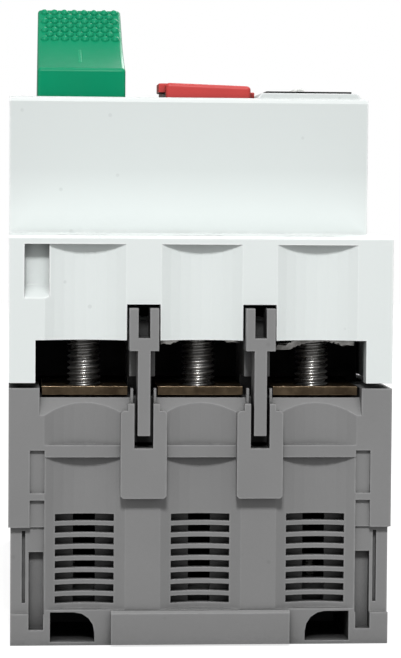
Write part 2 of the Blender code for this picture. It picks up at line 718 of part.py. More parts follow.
def front_housing():
    """Front housing: a shell with openings for the controls and the terminals."""
    cover = make("front_housing", Shape().prism("X", cover_outline(), -HALF_W, HALF_W), "white_plastic")
    foot, left, right, foot_right = PLATEAU_X
    plateau = [(foot, FRONT - PAST / 2), (foot, FRONT), (left, PLATEAU), (right, PLATEAU),
               (foot_right, FRONT), (foot_right, FRONT - PAST / 2)]
    add(cover, Shape().prism("Y", plateau, *PLATEAU_Y))
    cut(cover, Shape().prism("X", cover_cavity(), -INNER_HALF_W, INNER_HALF_W))
    up = (CEILING - PAST, PLATEAU + PAST)
    openings = Shape()
    openings.box((START_X[0] - BUTTON_GAP, START_X[1] + BUTTON_GAP),
                 (START_Y[0] - BUTTON_GAP, START_Y[1] + BUTTON_GAP), up)
    openings.box((STOP_X[0] - 2 * BUTTON_GAP, STOP_X[1] + BUTTON_GAP),
                 (STOP_Y[0] - BUTTON_GAP, STOP_Y[1] + BUTTON_GAP), up)
    openings.box(TEST_SLOT_X, span(sum(TEST_Y) / 2, TEST_SLOT_HALF), up)
    cut(cover, openings)
    cut(cover, Shape().rod("Z", DIAL_CENTER, DIAL_HOLE, *up, steps=2 * ROUND_STEPS))
    cut(cover, Shape().box(SCALE_X, SCALE_Y, (SCALE_POCKET, PLATEAU + PAST)))
    for end in ENDS.values():
        cover_end(cover, end)
    snaps = [(along, SNAP_COVER_Z, SIDE_DEPTH) for along in SIDE_SNAPS]
    windows = [(along, SIDE_WINDOW_Z, SIDE_DEPTH) for along in SIDE_WINDOWS_Y]
    side_recesses(cover, snaps + windows + [(SIDE_LABEL_Y, SIDE_LABEL_Z, LABEL_DEPTH)])
    cut(cover, Shape().box(FRONT_LABEL_X, FRONT_LABEL_Y, (FRONT - LABEL_DEPTH, FRONT + PAST)))
    return cover


def chamber_body():
    """Dark inner body with a chamber for each pole's contacts and releases."""
    shape = Shape().box(span(0.0, CHAMBER_HALF_W), span(0.0, CHAMBER_END), CHAMBER_Z)
    body = make("chamber_body", shape, "dark_plastic")
    pockets = Shape()
    entries = Shape()
    for pole in POLES:
        pockets.box(span(pole, POCKET_HALF_W), span(0.0, POCKET_HALF_L),
                    (POCKET_FLOOR, CHAMBER_Z[1] + PAST))
        for end in ENDS.values():
            entries.box(span(pole, BAY_HALF_W), outward(end, POCKET_HALF_L - PAST, CHAMBER_END + PAST),
                        (TERMINAL_SHELF, PLATE_HIGH + GAP))
    cut(body, pockets)
    cut(body, entries)
    screws = Shape()
    for place_xy in chassis_screw_places():
        screws.rod("Z", place_xy, CHASSIS_CLEAR, CHAMBER_Z[0] - PAST, CHASSIS_END + GAP)
    cut(body, screws)
    return body


def button_flange(x, y, low):
    """The rim under the housing that keeps a button from coming out."""
    return Shape().box((x[0] - FLANGE, x[1] + FLANGE), (y[0] - FLANGE, y[1] + FLANGE),
                       (low, low + FLANGE_THICK))


def button_well(piece, centre, bottom):
    """Cut the round well that takes the return spring, around the button's stem."""
    well = Shape().rod("Z", centre, SPRING_WELL, bottom - PAST, bottom + SPRING_WELL_HEIGHT,
                       steps=ROUND_STEPS)
    cut(piece, well)


def start_button():
    """Green button: tall block whose top slopes up towards the line end."""
    outline = [(START_Y[0], START_SKIRT), (START_Y[0], START_CREASE), START_KNURL,
               (START_Y[1] - EDGE_ROUND, START_TOP), (START_Y[1], START_TOP - EDGE_ROUND),
               (START_Y[1], START_SKIRT)]
    shape = Shape().prism("X", outline, *START_X)
    for vertex in shape.bm.verts:
        if vertex.co.x < sum(START_X) / 2 and vertex.co.z > START_CREASE:
            vertex.co.x += START_TAPER * (vertex.co.z - START_CREASE) / (START_TOP - START_CREASE)
    centre = (sum(START_X) / 2, sum(START_Y) / 2)
    button = make("start_button", shape, "green_plastic", origin=(*centre, START_SKIRT))
    add(button, button_flange(START_X, START_Y, START_SKIRT - FLANGE_THICK))
    button_well(button, centre, START_SKIRT)
    add(button, Shape().rod("Z", centre, STEM_RADIUS, START_STEM_END, START_CREASE,
                            steps=ROUND_STEPS))
    return button


def stop_button():
    """Red button: a low block with a small tab on each side."""
    outline = [(STOP_X[0], STOP_BOTTOM), (STOP_X[1], STOP_BOTTOM),
               (STOP_X[1], STOP_TOP[1] - EDGE_ROUND), (STOP_X[1] - EDGE_ROUND / 2, STOP_TOP[1]),
               (STOP_X[0], STOP_TOP[0])]
    centre = (sum(STOP_X) / 2, sum(STOP_Y) / 2)
    button = make("stop_button", Shape().prism("Y", outline, *STOP_Y), "red_plastic",
                  origin=(*centre, STOP_BOTTOM))
    reach, low, near, far = STOP_TAB
    tab = Shape().box((STOP_X[0] - reach, STOP_X[0] + reach), (near, far), (low, STOP_TOP[0] - GAP / 3))
    add(button, tab)
    add(button, Shape().box((STOP_X[0] - FLANGE, STOP_X[1] + FLANGE),
                            (STOP_Y[0] - FLANGE, STOP_Y[1] + FLANGE),
                            (STOP_BOTTOM, STOP_BOTTOM + FLANGE)))
    button_well(button, centre, STOP_BOTTOM)
    add(button, Shape().rod("Z", centre, STEM_RADIUS, STOP_STEM_END,
                            STOP_BOTTOM + SPRING_WELL_HEIGHT + PAST, steps=ROUND_STEPS))
    return button


def button_springs():
    """Return springs around the stems of both buttons."""
    radius = SPRING_WELL - 2 * GAP - WIRE
    wells = (("start_spring", START_X, START_Y, DECK_Z[1], START_SKIRT, START_SPRING_TURNS),
             ("stop_spring", STOP_X, STOP_Y, CAGE_TOP[1], STOP_BOTTOM, STOP_SPRING_TURNS))
    for name, x, y, low, bottom, turns in wells:
        centre = (sum(x) / 2, sum(y) / 2)
        clear = GAP + WIRE
        path = helix(centre, "Z", radius - WIRE, low + clear, bottom + SPRING_WELL_HEIGHT - clear, turns)
        make(name, Shape().tube(path, WIRE, SPRING_SIDES), "steel", origin=(*centre, low))


def current_dial():
    """Setting dial: a disc with a domed grip, a collar under the housing and a shaft."""
    profile = [(0.0, DIAL_SHAFT_END), (DIAL_SHAFT, DIAL_SHAFT_END),
               (DIAL_SHAFT, CEILING - GAP - FLANGE_THICK), (DIAL_COLLAR, CEILING - GAP - FLANGE_THICK),
               (DIAL_COLLAR, CEILING - GAP), (DIAL_RADIUS, CEILING - GAP),
               (DIAL_RADIUS, DIAL_FACE - GAP), (DIAL_RADIUS - GAP, DIAL_FACE), (0.0, DIAL_FACE)]
    dial = make("current_dial", Shape().turned(DIAL_CENTER, profile), "pale_plastic",
                origin=(*DIAL_CENTER, DIAL_FACE))
    middle = (DIAL_CENTER[0], DIAL_HUB_TOP - DIAL_HUB_HALF_W)
    outline = arc(middle, DIAL_HUB_HALF_W, 0.0, math.pi, GROOVE_STEPS)
    outline += [(x, DIAL_FACE - FLANGE) for x in span(middle[0], DIAL_HUB_HALF_W)]
    add(dial, Shape().prism("Y", outline, *span(DIAL_CENTER[1], DIAL_HUB_HALF_L)))
    return dial


def scale_plate():
    """Thin printed plate around the dial."""
    shape = Shape().box((SCALE_X[0] + GAP, SCALE_X[1] - GAP), (SCALE_Y[0] + GAP, SCALE_Y[1] - GAP),
                        (SCALE_POCKET + GAP, SCALE_TOP))
    plate = make("scale_plate", shape, "dark_plastic")
    cut(plate, Shape().rod("Z", DIAL_CENTER, DIAL_HOLE, SCALE_POCKET - PAST, SCALE_TOP + PAST,
                           steps=2 * ROUND_STEPS))


def test_slide():
    """Trip test slide, under the front with a small knob in its slot."""
    middle = (sum(TEST_KNOB_X) / 2, sum(TEST_Y) / 2, CEILING)
    shape = Shape().box(TEST_X, TEST_Y, (CEILING - GAP - FLANGE_THICK, CEILING - GAP))
    slide = make("test_slide", shape, "grey_plastic", origin=middle)
    knob = Shape().box(TEST_KNOB_X, span(middle[1], TEST_SLOT_HALF - GAP), (CEILING - FLANGE, TEST_KNOB_TOP))
    add(slide, knob)


def din_clip():
    """Sprung slider that holds the breaker on its rail, pulled by the tab at the load end."""
    low, high = CLIP_PLATE_Z
    near, far = CLIP_TAB_Y
    plate = Shape().box(span(0.0, CLIP_PLATE_HALF), (far - GAP, CLIP_NOSE), CLIP_PLATE_Z)
    clip = make("din_clip", plate, "grey_plastic", origin=(0.0, -HALF_L, low))
    add(clip, Shape().box(span(0.0, CLIP_FLANGE_HALF), (CLIP_FLANGE_END, CLIP_NOSE - PAST), CLIP_FLANGE_Z))
    half_tab, foot, top = CLIP_TAB
    tab = [(near, foot), (near, top - GAP), (near + GAP, top), (far, top), (far, foot)]
    add(clip, Shape().prism("X", tab, -half_tab, half_tab))
    half_w, start, stop = CLIP_WINDOW
    cut(clip, Shape().box(span(0.0, half_w), (start, stop), (low - PAST, high + PAST)))
    lead = [(CLIP_NOSE + PAST, low - PAST), (CLIP_NOSE - PAST / 2, low - PAST),
            (CLIP_NOSE - PAST / 2, low), (CLIP_NOSE + PAST, low + PAST)]
    cut(clip, Shape().prism("X", lead, -HALF_W, HALF_W))
    centre = (0.0, CLIP_PLATE_Z[1] - CLIP_SPRING[0] - WIRE)
    path = helix(centre, "Y", CLIP_SPRING[0], CLIP_BOSS[2] + GAP + WIRE, stop - GAP - WIRE, CLIP_SPRING[1])
    make("din_clip_spring", Shape().tube(path, WIRE, SPRING_SIDES), "steel", origin=(0.0, stop, centre[1]))


def barrier_outline(wall):
    """Front outline of a barrier: a forked head on a narrow stem."""
    half = [(STEM_HALF, STEM_BOTTOM), (STEM_HALF, HEAD_BOTTOM), (BARRIER_HALF, HEAD_BOTTOM),
            (BARRIER_HALF, HEAD_TOP), (BARRIER_FORK, HEAD_TOP), (BARRIER_FORK, FORK_BOTTOM)]
    points = half + [(-x, z) for x, z in reversed(half)]
    return [(wall + x, z) for x, z in points]


def clip_outline(wall):
    """Front outline of a forked clip, open at the top for the barrier's stem."""
    half = [(CLIP_HALF - GAP, CLIP_BOTTOM), (CLIP_HALF, CLIP_BOTTOM + GAP), (CLIP_HALF, CLIP_TOP - GAP),
            (CLIP_HALF - GAP, CLIP_TOP), (CLIP_ARM[0], CLIP_TOP), CLIP_ARM,
            (CLIP_SLOT_HALF, CLIP_ARM[1]), (CLIP_SLOT_HALF, CLIP_SLOT_BOTTOM)]
    points = half + [(-x, z) for x, z in reversed(half)]
    return [(wall + x, z) for x, z in points]


def barriers():
    """Phase barriers between the terminals, each held by a forked clip."""
    for label, end in ENDS.items():
        for side, wall in zip(("left", "right"), PARTITIONS):
            barrier = Shape().prism("Y", barrier_outline(wall), *outward(end, BARRIER_INNER, BARRIER_OUTER))
            make(f"phase_barrier_{label}_{side}", barrier, "grey_plastic")
            clip = Shape().prism("Y", clip_outline(wall), *outward(end, CLIP_BACK, BARRIER_OUTER))
            piece = make(f"barrier_clip_{label}_{side}", clip, "grey_plastic")
            tongue = Shape().box(span(wall, TONGUE_HALF), outward(end, TONGUE_END, CLIP_BACK + GAP), TONGUE_Z)
            add(piece, tongue)


def washer_outline(pole, edge):
    """Section of a dished clamp washer, with its sides bent down to edge."""
    low = [(-WASHER_HALF_W, edge), (-WASHER_FLAT, edge + WASHER_DISH),
           (WASHER_FLAT, edge + WASHER_DISH), (WASHER_HALF_W, edge)]
    points = low + [(x, z + WASHER_THICK) for x, z in reversed(low)]
    return [(pole + x, z) for x, z in points]


def terminal(label, end, pole_name, pole, edge):
    """One terminal: its plate, its dished washer and its screw."""
    name = f"{label}_{pole_name}"
    centre = (pole, end * SCREW_Y)
    plate = make(f"terminal_plate_{name}",
                 Shape().box(span(pole, PLATE_HALF_W), outward(end, PLATE_INNER_END, PLATE_OUTER_END),
                             (PLATE_LOW, PLATE_HIGH)), "brass")
    cut(plate, Shape().rod("Z", centre, THREAD_CLEAR, PLATE_LOW - PAST, PLATE_HIGH + PAST))
    washer = make(f"clamp_washer_{name}",
                  Shape().prism("Y", washer_outline(pole, edge), *outward(end, *WASHER_Y)), "steel",
                  origin=(*centre, edge))
    cut(washer, Shape().rod("Z", centre, THREAD_CLEAR, edge - PAST, edge + 2 * PAST))
    seat = edge + WASHER_DISH + WASHER_THICK + GAP
    top = seat + HEAD_HEIGHT
    tip = SCREW_TIP + edge - WASHER_EDGE_Z[0]
    profile = [(0.0, tip), (THREAD_RADIUS - TIP_CHAMFER, tip), (THREAD_RADIUS, tip + TIP_CHAMFER),
               (THREAD_RADIUS, seat), (HEAD_RADIUS, seat), (HEAD_RADIUS, top - TIP_CHAMFER),
               (HEAD_RADIUS - TIP_CHAMFER, top), (0.0, top)]
    screw = make(f"terminal_screw_{name}", Shape().turned(centre, profile), "steel", origin=(*centre, seat))
    slot = Shape().box(span(centre[0], HEAD_RADIUS + PAST), span(centre[1], HEAD_SLOT / 2),
                       (top - HEAD_SLOT_DEPTH, top + PAST))
    cut(screw, slot)


def terminals():
    for label, end in ENDS.items():
        for pole_name, pole, edge in zip(POLE_NAMES, POLES, WASHER_EDGE_Z):
            terminal(label, end, pole_name, pole, edge)


def chute_outline():
    """Side section of an arc chute: splitter plates on a common back."""
    back = CHUTE_Y[1] - 2 * CHUTE_PLATE
    pitch = (CHUTE_Z[1] - CHUTE_Z[0] - CHUTE_PLATE) / (CHUTE_PLATES - 1)
    points = []
    for index in range(CHUTE_PLATES):
        low = CHUTE_Z[0] + index * pitch
        if index:
            points.append((back, low))
        points += [(CHUTE_Y[0], low), (CHUTE_Y[0], low + CHUTE_PLATE)]
        if index < CHUTE_PLATES - 1:
            points.append((back, low + CHUTE_PLATE))
    points += [(CHUTE_Y[1], CHUTE_Z[1]), (CHUTE_Y[1], CHUTE_Z[0])]
    return points


def pole_parts(name, pole):
    """What one pole holds: moving contact, overload strip, trip coil and arc chute."""
    make(f"moving_contact_{name}",
         Shape().box(span(pole, CONTACT_HALF_W), span(0.0, CONTACT_HALF_L), CONTACT_Z), "copper")
    foot, shoulder, tip = STRIP_Z
    strip = [(STRIP_Y[0], foot), (STRIP_Y[2], foot), (STRIP_Y[2], tip), (STRIP_Y[1], tip),
             (STRIP_Y[1], shoulder), (STRIP_Y[0], shoulder)]
    make(f"bimetal_{name}", Shape().prism("X", strip, *span(pole, STRIP_HALF_W)), "steel")
    low, high = COIL_Z
    profile = [(0.0, low), (COIL_FLANGE, low), (COIL_FLANGE, low + FLANGE), (COIL_RADIUS, low + FLANGE),
               (COIL_RADIUS, high - 2 * FLANGE), (COIL_FLANGE, high - 2 * FLANGE),
               (COIL_FLANGE, high - FLANGE), (COIL_CORE, high - FLANGE), (COIL_CORE, high), (0.0, high)]
    make(f"trip_coil_{name}", Shape().turned((pole, COIL_Y), profile), "copper")
    make(f"arc_chute_{name}", Shape().prism("X", chute_outline(), *span(pole, CHUTE_HALF_W)), "steel")


def comb_outline(bar, fingers_low, half_x, half_finger):
    """Front outline of a bar across the poles with a finger down to each."""
    points = [(-half_x, bar[1]), (-half_x, bar[0])]
    for pole in POLES:
        points += [(pole - half_finger, bar[0]), (pole - half_finger, fingers_low),
                   (pole + half_finger, fingers_low), (pole + half_finger, bar[0])]
    return points + [(half_x, bar[0]), (half_x, bar[1])]


def crossbars():
    """The carrier that moves all contacts, its return spring, and the trip bar."""
    low, bar_low, bar_high = CARRIER_Z
    outline = comb_outline((bar_low, bar_high), low, CARRIER_HALF_X, CARRIER_LEG)
    make("contact_carrier", Shape().prism("Y", outline, *span(0.0, CARRIER_HALF_Y)), "dark_plastic",
         origin=(0.0, 0.0, low))
    path = helix((0.0, 0.0), "Z", CONTACT_HALF_W - GAP, POCKET_FLOOR + GAP + WIRE, CONTACT_Z[0] - GAP - WIRE,
                 CONTACT_SPRING_TURNS)
    make("contact_return_spring", Shape().tube(path, WIRE, SPRING_SIDES), "steel",
         origin=(0.0, 0.0, POCKET_FLOOR))
    low, bar_low, bar_high = TRIP_Z
    outline = comb_outline((bar_low, bar_high), low, CARRIER_HALF_X, TRIP_FINGER)
    make("trip_bar", Shape().prism("Y", outline, *TRIP_Y), "pale_plastic",
         origin=(0.0, sum(TRIP_Y) / 2, TRIP_AXIS_Z))


def mechanism_frame():
    """Sheet-metal frame: a deck on four feet with a cage for the latch lever."""
    frame = make("mechanism_frame", Shape().box(DECK_X, DECK_Y, DECK_Z), "steel", smooth=False)
    inner = (CAGE_X[0] + CAGE_SHEET, CAGE_X[1] - CAGE_SHEET)
    arch = [(CAGE_X[0], DECK_Z[0]), (CAGE_X[0], CAGE_TOP[1]), (CAGE_X[1], CAGE_TOP[1]),
            (CAGE_X[1], DECK_Z[0]), (inner[1], DECK_Z[0]), (inner[1], CAGE_TOP[0]),
            (inner[0], CAGE_TOP[0]), (inner[0], DECK_Z[0])]
    add(frame, Shape().prism("Y", arch, *DECK_Y))
    feet = Shape()
    for wall in PARTITIONS:
        for y in FOOT_Y:
            feet.box(span(wall, FOOT_HALF), y, (FOOT_BOTTOM, sum(DECK_Z) / 2))
    add(frame, feet)
    stop_centre = (sum(STOP_X) / 2, sum(STOP_Y) / 2)
    cut(frame, Shape().rod("Z", stop_centre, STEM_RADIUS + 2 * GAP, CAGE_TOP[0] - PAST / 2,
                           CAGE_TOP[1] + PAST / 2))
    cut(frame, Shape().rod("X", LEVER_PIVOT, PIN_CLEAR, CAGE_X[0] - PAST, CAGE_X[1] + PAST))


def latch():
    """Latch lever and the pin that it turns on."""
    y, z = LEVER_PIVOT
    half_turn = math.pi - math.asin((LEVER_Z[1] - LEVER_Z[0]) / 2 / LEVER_HUB)
    hub = arc(LEVER_PIVOT, LEVER_HUB, -half_turn, half_turn, ROUND_STEPS)
    outline = [(LEVER_Y, LEVER_Z[0])] + hub + [(LEVER_Y, LEVER_Z[1])]
    lever = make("latch_lever", Shape().prism("X", outline, *LEVER_X), "steel",
                 origin=(sum(LEVER_X) / 2, y, z))
    cut(lever, Shape().rod("X", LEVER_PIVOT, PIN_CLEAR, LEVER_X[0] - PAST, LEVER_X[1] + PAST))
    make("latch_pin", Shape().rod("X", LEVER_PIVOT, PIN_RADIUS, *PIN_X), "steel")


def chassis_screws():
    """Screws that hold the inner body to the rear housing."""
    head_low, head_high = CHASSIS_HEAD_Z
    for index, (x, y) in enumerate(chassis_screw_places(), start=1):
        profile = [(0.0, head_low), (CHASSIS_HEAD, head_low), (CHASSIS_HEAD, head_high),
                   (CHASSIS_RADIUS, head_high), (CHASSIS_RADIUS, CHASSIS_END), (0.0, CHASSIS_END)]
        make(f"chassis_screw_{index}", Shape().turned((x, y), profile, steps=HOLE_STEPS), "steel")


def main():
    clear_scene()
    base_housing()
    front_housing()
    chamber_body()
    start_button()
    stop_button()
    button_springs()
    current_dial()
    scale_plate()
    test_slide()
    din_clip()
    barriers()
    terminals()
    for name, pole in zip(POLE_NAMES, POLES):
        pole_parts(name, pole)
    crossbars()
    mechanism_frame()
    latch()
    chassis_screws()


main()
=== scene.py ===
"""Looks of the motor protection breaker: camera, light, materials and fine pieces."""
import json
import math

import bmesh
import bpy
from mathutils import Matrix, Vector


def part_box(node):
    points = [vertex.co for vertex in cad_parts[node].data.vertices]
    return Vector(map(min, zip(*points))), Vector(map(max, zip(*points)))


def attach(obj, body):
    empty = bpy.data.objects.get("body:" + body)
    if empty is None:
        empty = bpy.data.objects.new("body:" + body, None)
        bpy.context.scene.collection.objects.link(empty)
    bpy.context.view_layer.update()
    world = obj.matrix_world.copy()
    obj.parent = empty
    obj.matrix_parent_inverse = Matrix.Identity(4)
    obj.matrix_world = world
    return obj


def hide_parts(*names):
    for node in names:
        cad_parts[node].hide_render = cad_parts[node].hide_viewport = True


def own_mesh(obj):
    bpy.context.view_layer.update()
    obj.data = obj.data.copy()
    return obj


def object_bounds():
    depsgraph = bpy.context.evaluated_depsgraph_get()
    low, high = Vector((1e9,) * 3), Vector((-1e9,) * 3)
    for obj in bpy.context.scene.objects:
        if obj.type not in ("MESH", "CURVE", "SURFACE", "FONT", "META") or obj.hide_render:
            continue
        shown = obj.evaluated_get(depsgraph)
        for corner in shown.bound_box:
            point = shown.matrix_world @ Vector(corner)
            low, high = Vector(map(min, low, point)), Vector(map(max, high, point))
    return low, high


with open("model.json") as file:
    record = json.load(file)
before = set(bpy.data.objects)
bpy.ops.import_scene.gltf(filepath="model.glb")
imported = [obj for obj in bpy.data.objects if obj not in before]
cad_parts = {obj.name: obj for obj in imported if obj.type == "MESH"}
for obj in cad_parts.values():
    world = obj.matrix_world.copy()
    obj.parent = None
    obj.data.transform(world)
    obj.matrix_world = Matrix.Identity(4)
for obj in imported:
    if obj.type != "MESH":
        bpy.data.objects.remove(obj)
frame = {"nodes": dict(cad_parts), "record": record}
cad_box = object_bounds()

MM = 0.001
NODES = frame["nodes"]
ENDS = {"load": -1, "line": 1}
POLE_NAMES = ("left", "middle", "right")

# ---- Camera, read from the photo's perspective ----
EYE = Vector((-22.2, -331.5, 52.4)) * MM
YAW, PITCH, ROLL = (math.radians(angle) for angle in (4.39, -3.03, 0.40))
LENS = 135.0
SENSOR = 36.0
AMBIENT = 0.42
FLOOR_REACH = 0.9


def look_at(thing, target):
    """Point an object's -Z axis at a place, with its Y axis upwards."""
    direction = Vector(target) - thing.location
    thing.rotation_euler = direction.to_track_quat("-Z", "Y").to_euler()


def add_camera():
    data = bpy.data.cameras.new("photo_camera")
    data.lens = LENS
    data.sensor_width = SENSOR
    data.clip_start = 0.01
    camera = bpy.data.objects.new("photo_camera", data)
    camera.location = EYE
    forward = Vector((math.sin(YAW) * math.cos(PITCH), math.cos(YAW) * math.cos(PITCH), math.sin(PITCH)))
    turned = forward.to_track_quat("-Z", "Y").to_matrix() @ Matrix.Rotation(ROLL, 3, "Z")
    camera.rotation_euler = turned.to_euler()
    bpy.context.scene.collection.objects.link(camera)
    bpy.context.scene.camera = camera


def add_area(name, place, size, power, target=(0.0, 0.0, 0.04)):
    """A soft square light."""
    data = bpy.data.lights.new(name, "AREA")
    data.shape = "DISK"
    data.size = size
    data.energy = power
    light = bpy.data.objects.new(name, data)
    light.location = place
    look_at(light, target)
    bpy.context.scene.collection.objects.link(light)


def add_studio():
    """Pale floor, bright surroundings and three soft lights."""
    scene = bpy.context.scene
    scene.view_settings.view_transform = "Standard"
    world = bpy.data.worlds.new("studio")
    scene.world = world
    world.use_nodes = True
    background = world.node_tree.nodes["Background"]
    background.inputs["Color"].default_value = (1.0, 1.0, 1.0, 1.0)
    seen = world.node_tree.nodes.new("ShaderNodeLightPath")
    strength = world.node_tree.nodes.new("ShaderNodeMapRange")
    strength.inputs["To Min"].default_value = AMBIENT
    strength.inputs["To Max"].default_value = 1.0
    world.node_tree.links.new(seen.outputs["Is Camera Ray"], strength.inputs["Value"])
    world.node_tree.links.new(strength.outputs["Result"], background.inputs["Strength"])
    add_area("key_light", (-0.06, -0.69, 0.60), 0.16, 6.2)
    add_area("top_light", (0.10, 0.05, 0.92), 0.40, 2.2)
    add_area("back_light", (0.25, 0.72, 0.48), 0.40, 2.4)
    floor_mesh = bpy.data.meshes.new("floor")
    reach = FLOOR_REACH
    corners = [(-reach, -reach, 0.0), (reach, -reach, 0.0), (reach, reach, 0.0), (-reach, reach, 0.0)]
    floor_mesh.from_pydata(corners, [], [(0, 1, 2, 3)])
    floor = bpy.data.objects.new("floor", floor_mesh)
    floor.location.z = cad_box[0][2] - 0.02 * MM
    scene.collection.objects.link(floor)
    floor_mesh.materials.append(floor_material())


# ---- Materials ----
class Nodes:
    """A short way to build a node tree."""

    def __init__(self, name):
        self.material = bpy.data.materials.new(name)
        self.material.use_nodes = True
        self.tree = self.material.node_tree
        self.shader = self.tree.nodes["Principled BSDF"]
        self.coords = self.tree.nodes.new("ShaderNodeTexCoord").outputs["Object"]

    def add(self, kind, inputs=None, **settings):
        """Add a node, set its properties, and fill or link its inputs."""
        node = self.tree.nodes.new(kind)
        for key, value in settings.items():
            setattr(node, key, value)
        for key, value in (inputs or {}).items():
            self.feed(node.inputs[key], value)
        return node

    def feed(self, socket, value):
        if isinstance(value, bpy.types.NodeSocket):
            self.tree.links.new(value, socket)
        else:
            socket.default_value = value

    def noise(self, scale, detail=4.0, roughness=0.55, stretch=None):
        """Noise in object space, in features per metre."""
        vector = self.coords
        if stretch:
            vector = self.add("ShaderNodeMapping", {"Vector": self.coords, "Scale": stretch}).outputs["Vector"]
        node = self.add("ShaderNodeTexNoise", {"Vector": vector, "Scale": scale, "Detail": detail,
                                               "Roughness": roughness})
        return node.outputs["Fac"]

    def ramp(self, factor, low, high, start=0.0, end=1.0):
        """Map a factor between two values, with clamping."""
        node = self.add("ShaderNodeMapRange", {"Value": factor, "From Min": low, "From Max": high,
                                               "To Min": start, "To Max": end})
        return node.outputs["Result"]

    def mix(self, factor, first, second, blend="MIX"):
        """Mix two colours."""
        node = self.add("ShaderNodeMix", data_type="RGBA", blend_type=blend)
        self.feed(node.inputs["Factor"], factor)
        self.feed(node.inputs[6], first)
        self.feed(node.inputs[7], second)
        return node.outputs[2]

    def math(self, operation, first, second):
        node = self.add("ShaderNodeMath", operation=operation)
        self.feed(node.inputs[0], first)
        self.feed(node.inputs[1], second)
        return node.outputs[0]

    def bump(self, height, strength, distance, normal=None):
        inputs = {"Height": height, "Strength": strength, "Distance": distance}
        if normal is not None:
            inputs["Normal"] = normal
        return self.add("ShaderNodeBump", inputs).outputs["Normal"]

    def rounded(self, radius):
        """Normals that round off every edge by a small radius."""
        return self.add("ShaderNodeBevel", {"Radius": radius}, samples=6).outputs["Normal"]

    def edges(self, width):
        """1 along sharp edges, 0 elsewhere."""
        facing = self.add("ShaderNodeVectorMath", operation="DOT_PRODUCT")
        self.feed(facing.inputs[0], self.add("ShaderNodeNewGeometry").outputs["True Normal"])
        self.feed(facing.inputs[1], self.rounded(width))
        return self.ramp(facing.outputs["Value"], 0.995, 0.93)

    def crevices(self, distance, start=0.80, full=0.25):
        """1 in corners and slots, 0 in the open."""
        node = self.add("ShaderNodeAmbientOcclusion", {"Distance": distance}, samples=6)
        return self.ramp(node.outputs["AO"], start, full)


def rgba(colour, factor=1.0):
    return (colour[0] * factor, colour[1] * factor, colour[2] * factor, 1.0)


def plastic(name, colour, roughness=0.45, grain=0.35, edge=0.12 * MM, mottle=0.05, corner_dirt_and_shade=0.25,
            coat=0.0, specks=0.0, level=0.5, recess_shade=0.10, edge_highlight=0.35, upper=None):
    """Moulded plastic: spark-eroded grain, faint flow variation, dirt and painted shade in corners, painted shade in
    recesses and, if given, above a height, painted highlights on edges.
    """
    n = Nodes(name)
    clouds = n.noise(90.0, 3.0)
    flow = n.noise(28.0, 2.0, stretch=(1.0, 1.0, 3.0))
    fine = n.noise(5200.0, 3.0, 0.65)
    coarse = n.noise(1500.0, 2.0)
    tone = n.mix(n.ramp(clouds, 0.35, 0.65), rgba(colour, 1.0 - mottle), rgba(colour, 1.0 + mottle))
    tone = n.mix(n.ramp(flow, 0.40, 0.62, 0.0, mottle * 4), tone, rgba(colour, 1.0 - 2 * mottle))
    tone = n.mix(n.ramp(fine, 0.30, 0.70, 0.0, grain * 0.35), tone, rgba(colour, 0.80))
    # Narrow corners darkened from an occlusion mask broken by noise: partly dirt, partly painted shade.
    corner_dirt_and_shade_mask = n.math("MULTIPLY", n.crevices(1.2 * MM), n.ramp(n.noise(420.0, 4.0), 0.35, 0.65, 0.3, 1.0))
    # Painted shade: above the given heights the colour is darkened to upper[2] times itself.
    if upper:
        height = n.add("ShaderNodeSeparateXYZ", {"Vector": n.coords}).outputs["Z"]
        tone = n.mix(n.ramp(height, upper[0], upper[1]), tone, rgba(colour, upper[2]))
    # Painted highlight: sharp edges lightened from a bevel mask broken by noise.
    edge_highlight_mask = n.math("MULTIPLY", n.edges(0.35 * MM), n.ramp(n.noise(600.0, 4.0), 0.30, 0.60, 0.35, 1.0))
    tone = n.mix(n.math("MULTIPLY", edge_highlight_mask, edge_highlight), tone, rgba([min(1.0, c * 1.7 + 0.05) for c in colour]))
    tone = n.mix(n.math("MULTIPLY", corner_dirt_and_shade_mask, corner_dirt_and_shade), tone, rgba(colour, 0.35))
    # Painted shade: recesses and openings darkened from a wide occlusion mask.
    tone = n.mix(n.crevices(10.0 * MM, 0.44, 0.22), tone, rgba(colour, recess_shade))
    if specks:
        spots = n.add("ShaderNodeTexVoronoi", {"Vector": n.coords, "Scale": 260.0}).outputs["Distance"]
        tone = n.mix(n.ramp(spots, 0.075, 0.05, 0.0, specks), tone, rgba(colour, 0.55))
    n.feed(n.shader.inputs["Base Color"], tone)
    shine = n.ramp(n.noise(240.0, 4.0), 0.3, 0.7, roughness - 0.02 - mottle, roughness + 0.03 + mottle)
    n.feed(n.shader.inputs["Roughness"], shine)
    n.shader.inputs["IOR"].default_value = 1.50
    n.shader.inputs["Specular IOR Level"].default_value = level
    n.shader.inputs["Coat Weight"].default_value = coat
    n.shader.inputs["Coat Roughness"].default_value = 0.25
    surface = n.bump(fine, grain, 0.02 * MM, n.rounded(edge))
    surface = n.bump(coarse, grain * 0.5, 0.03 * MM, surface)
    n.feed(n.shader.inputs["Normal"], surface)
    return n.material


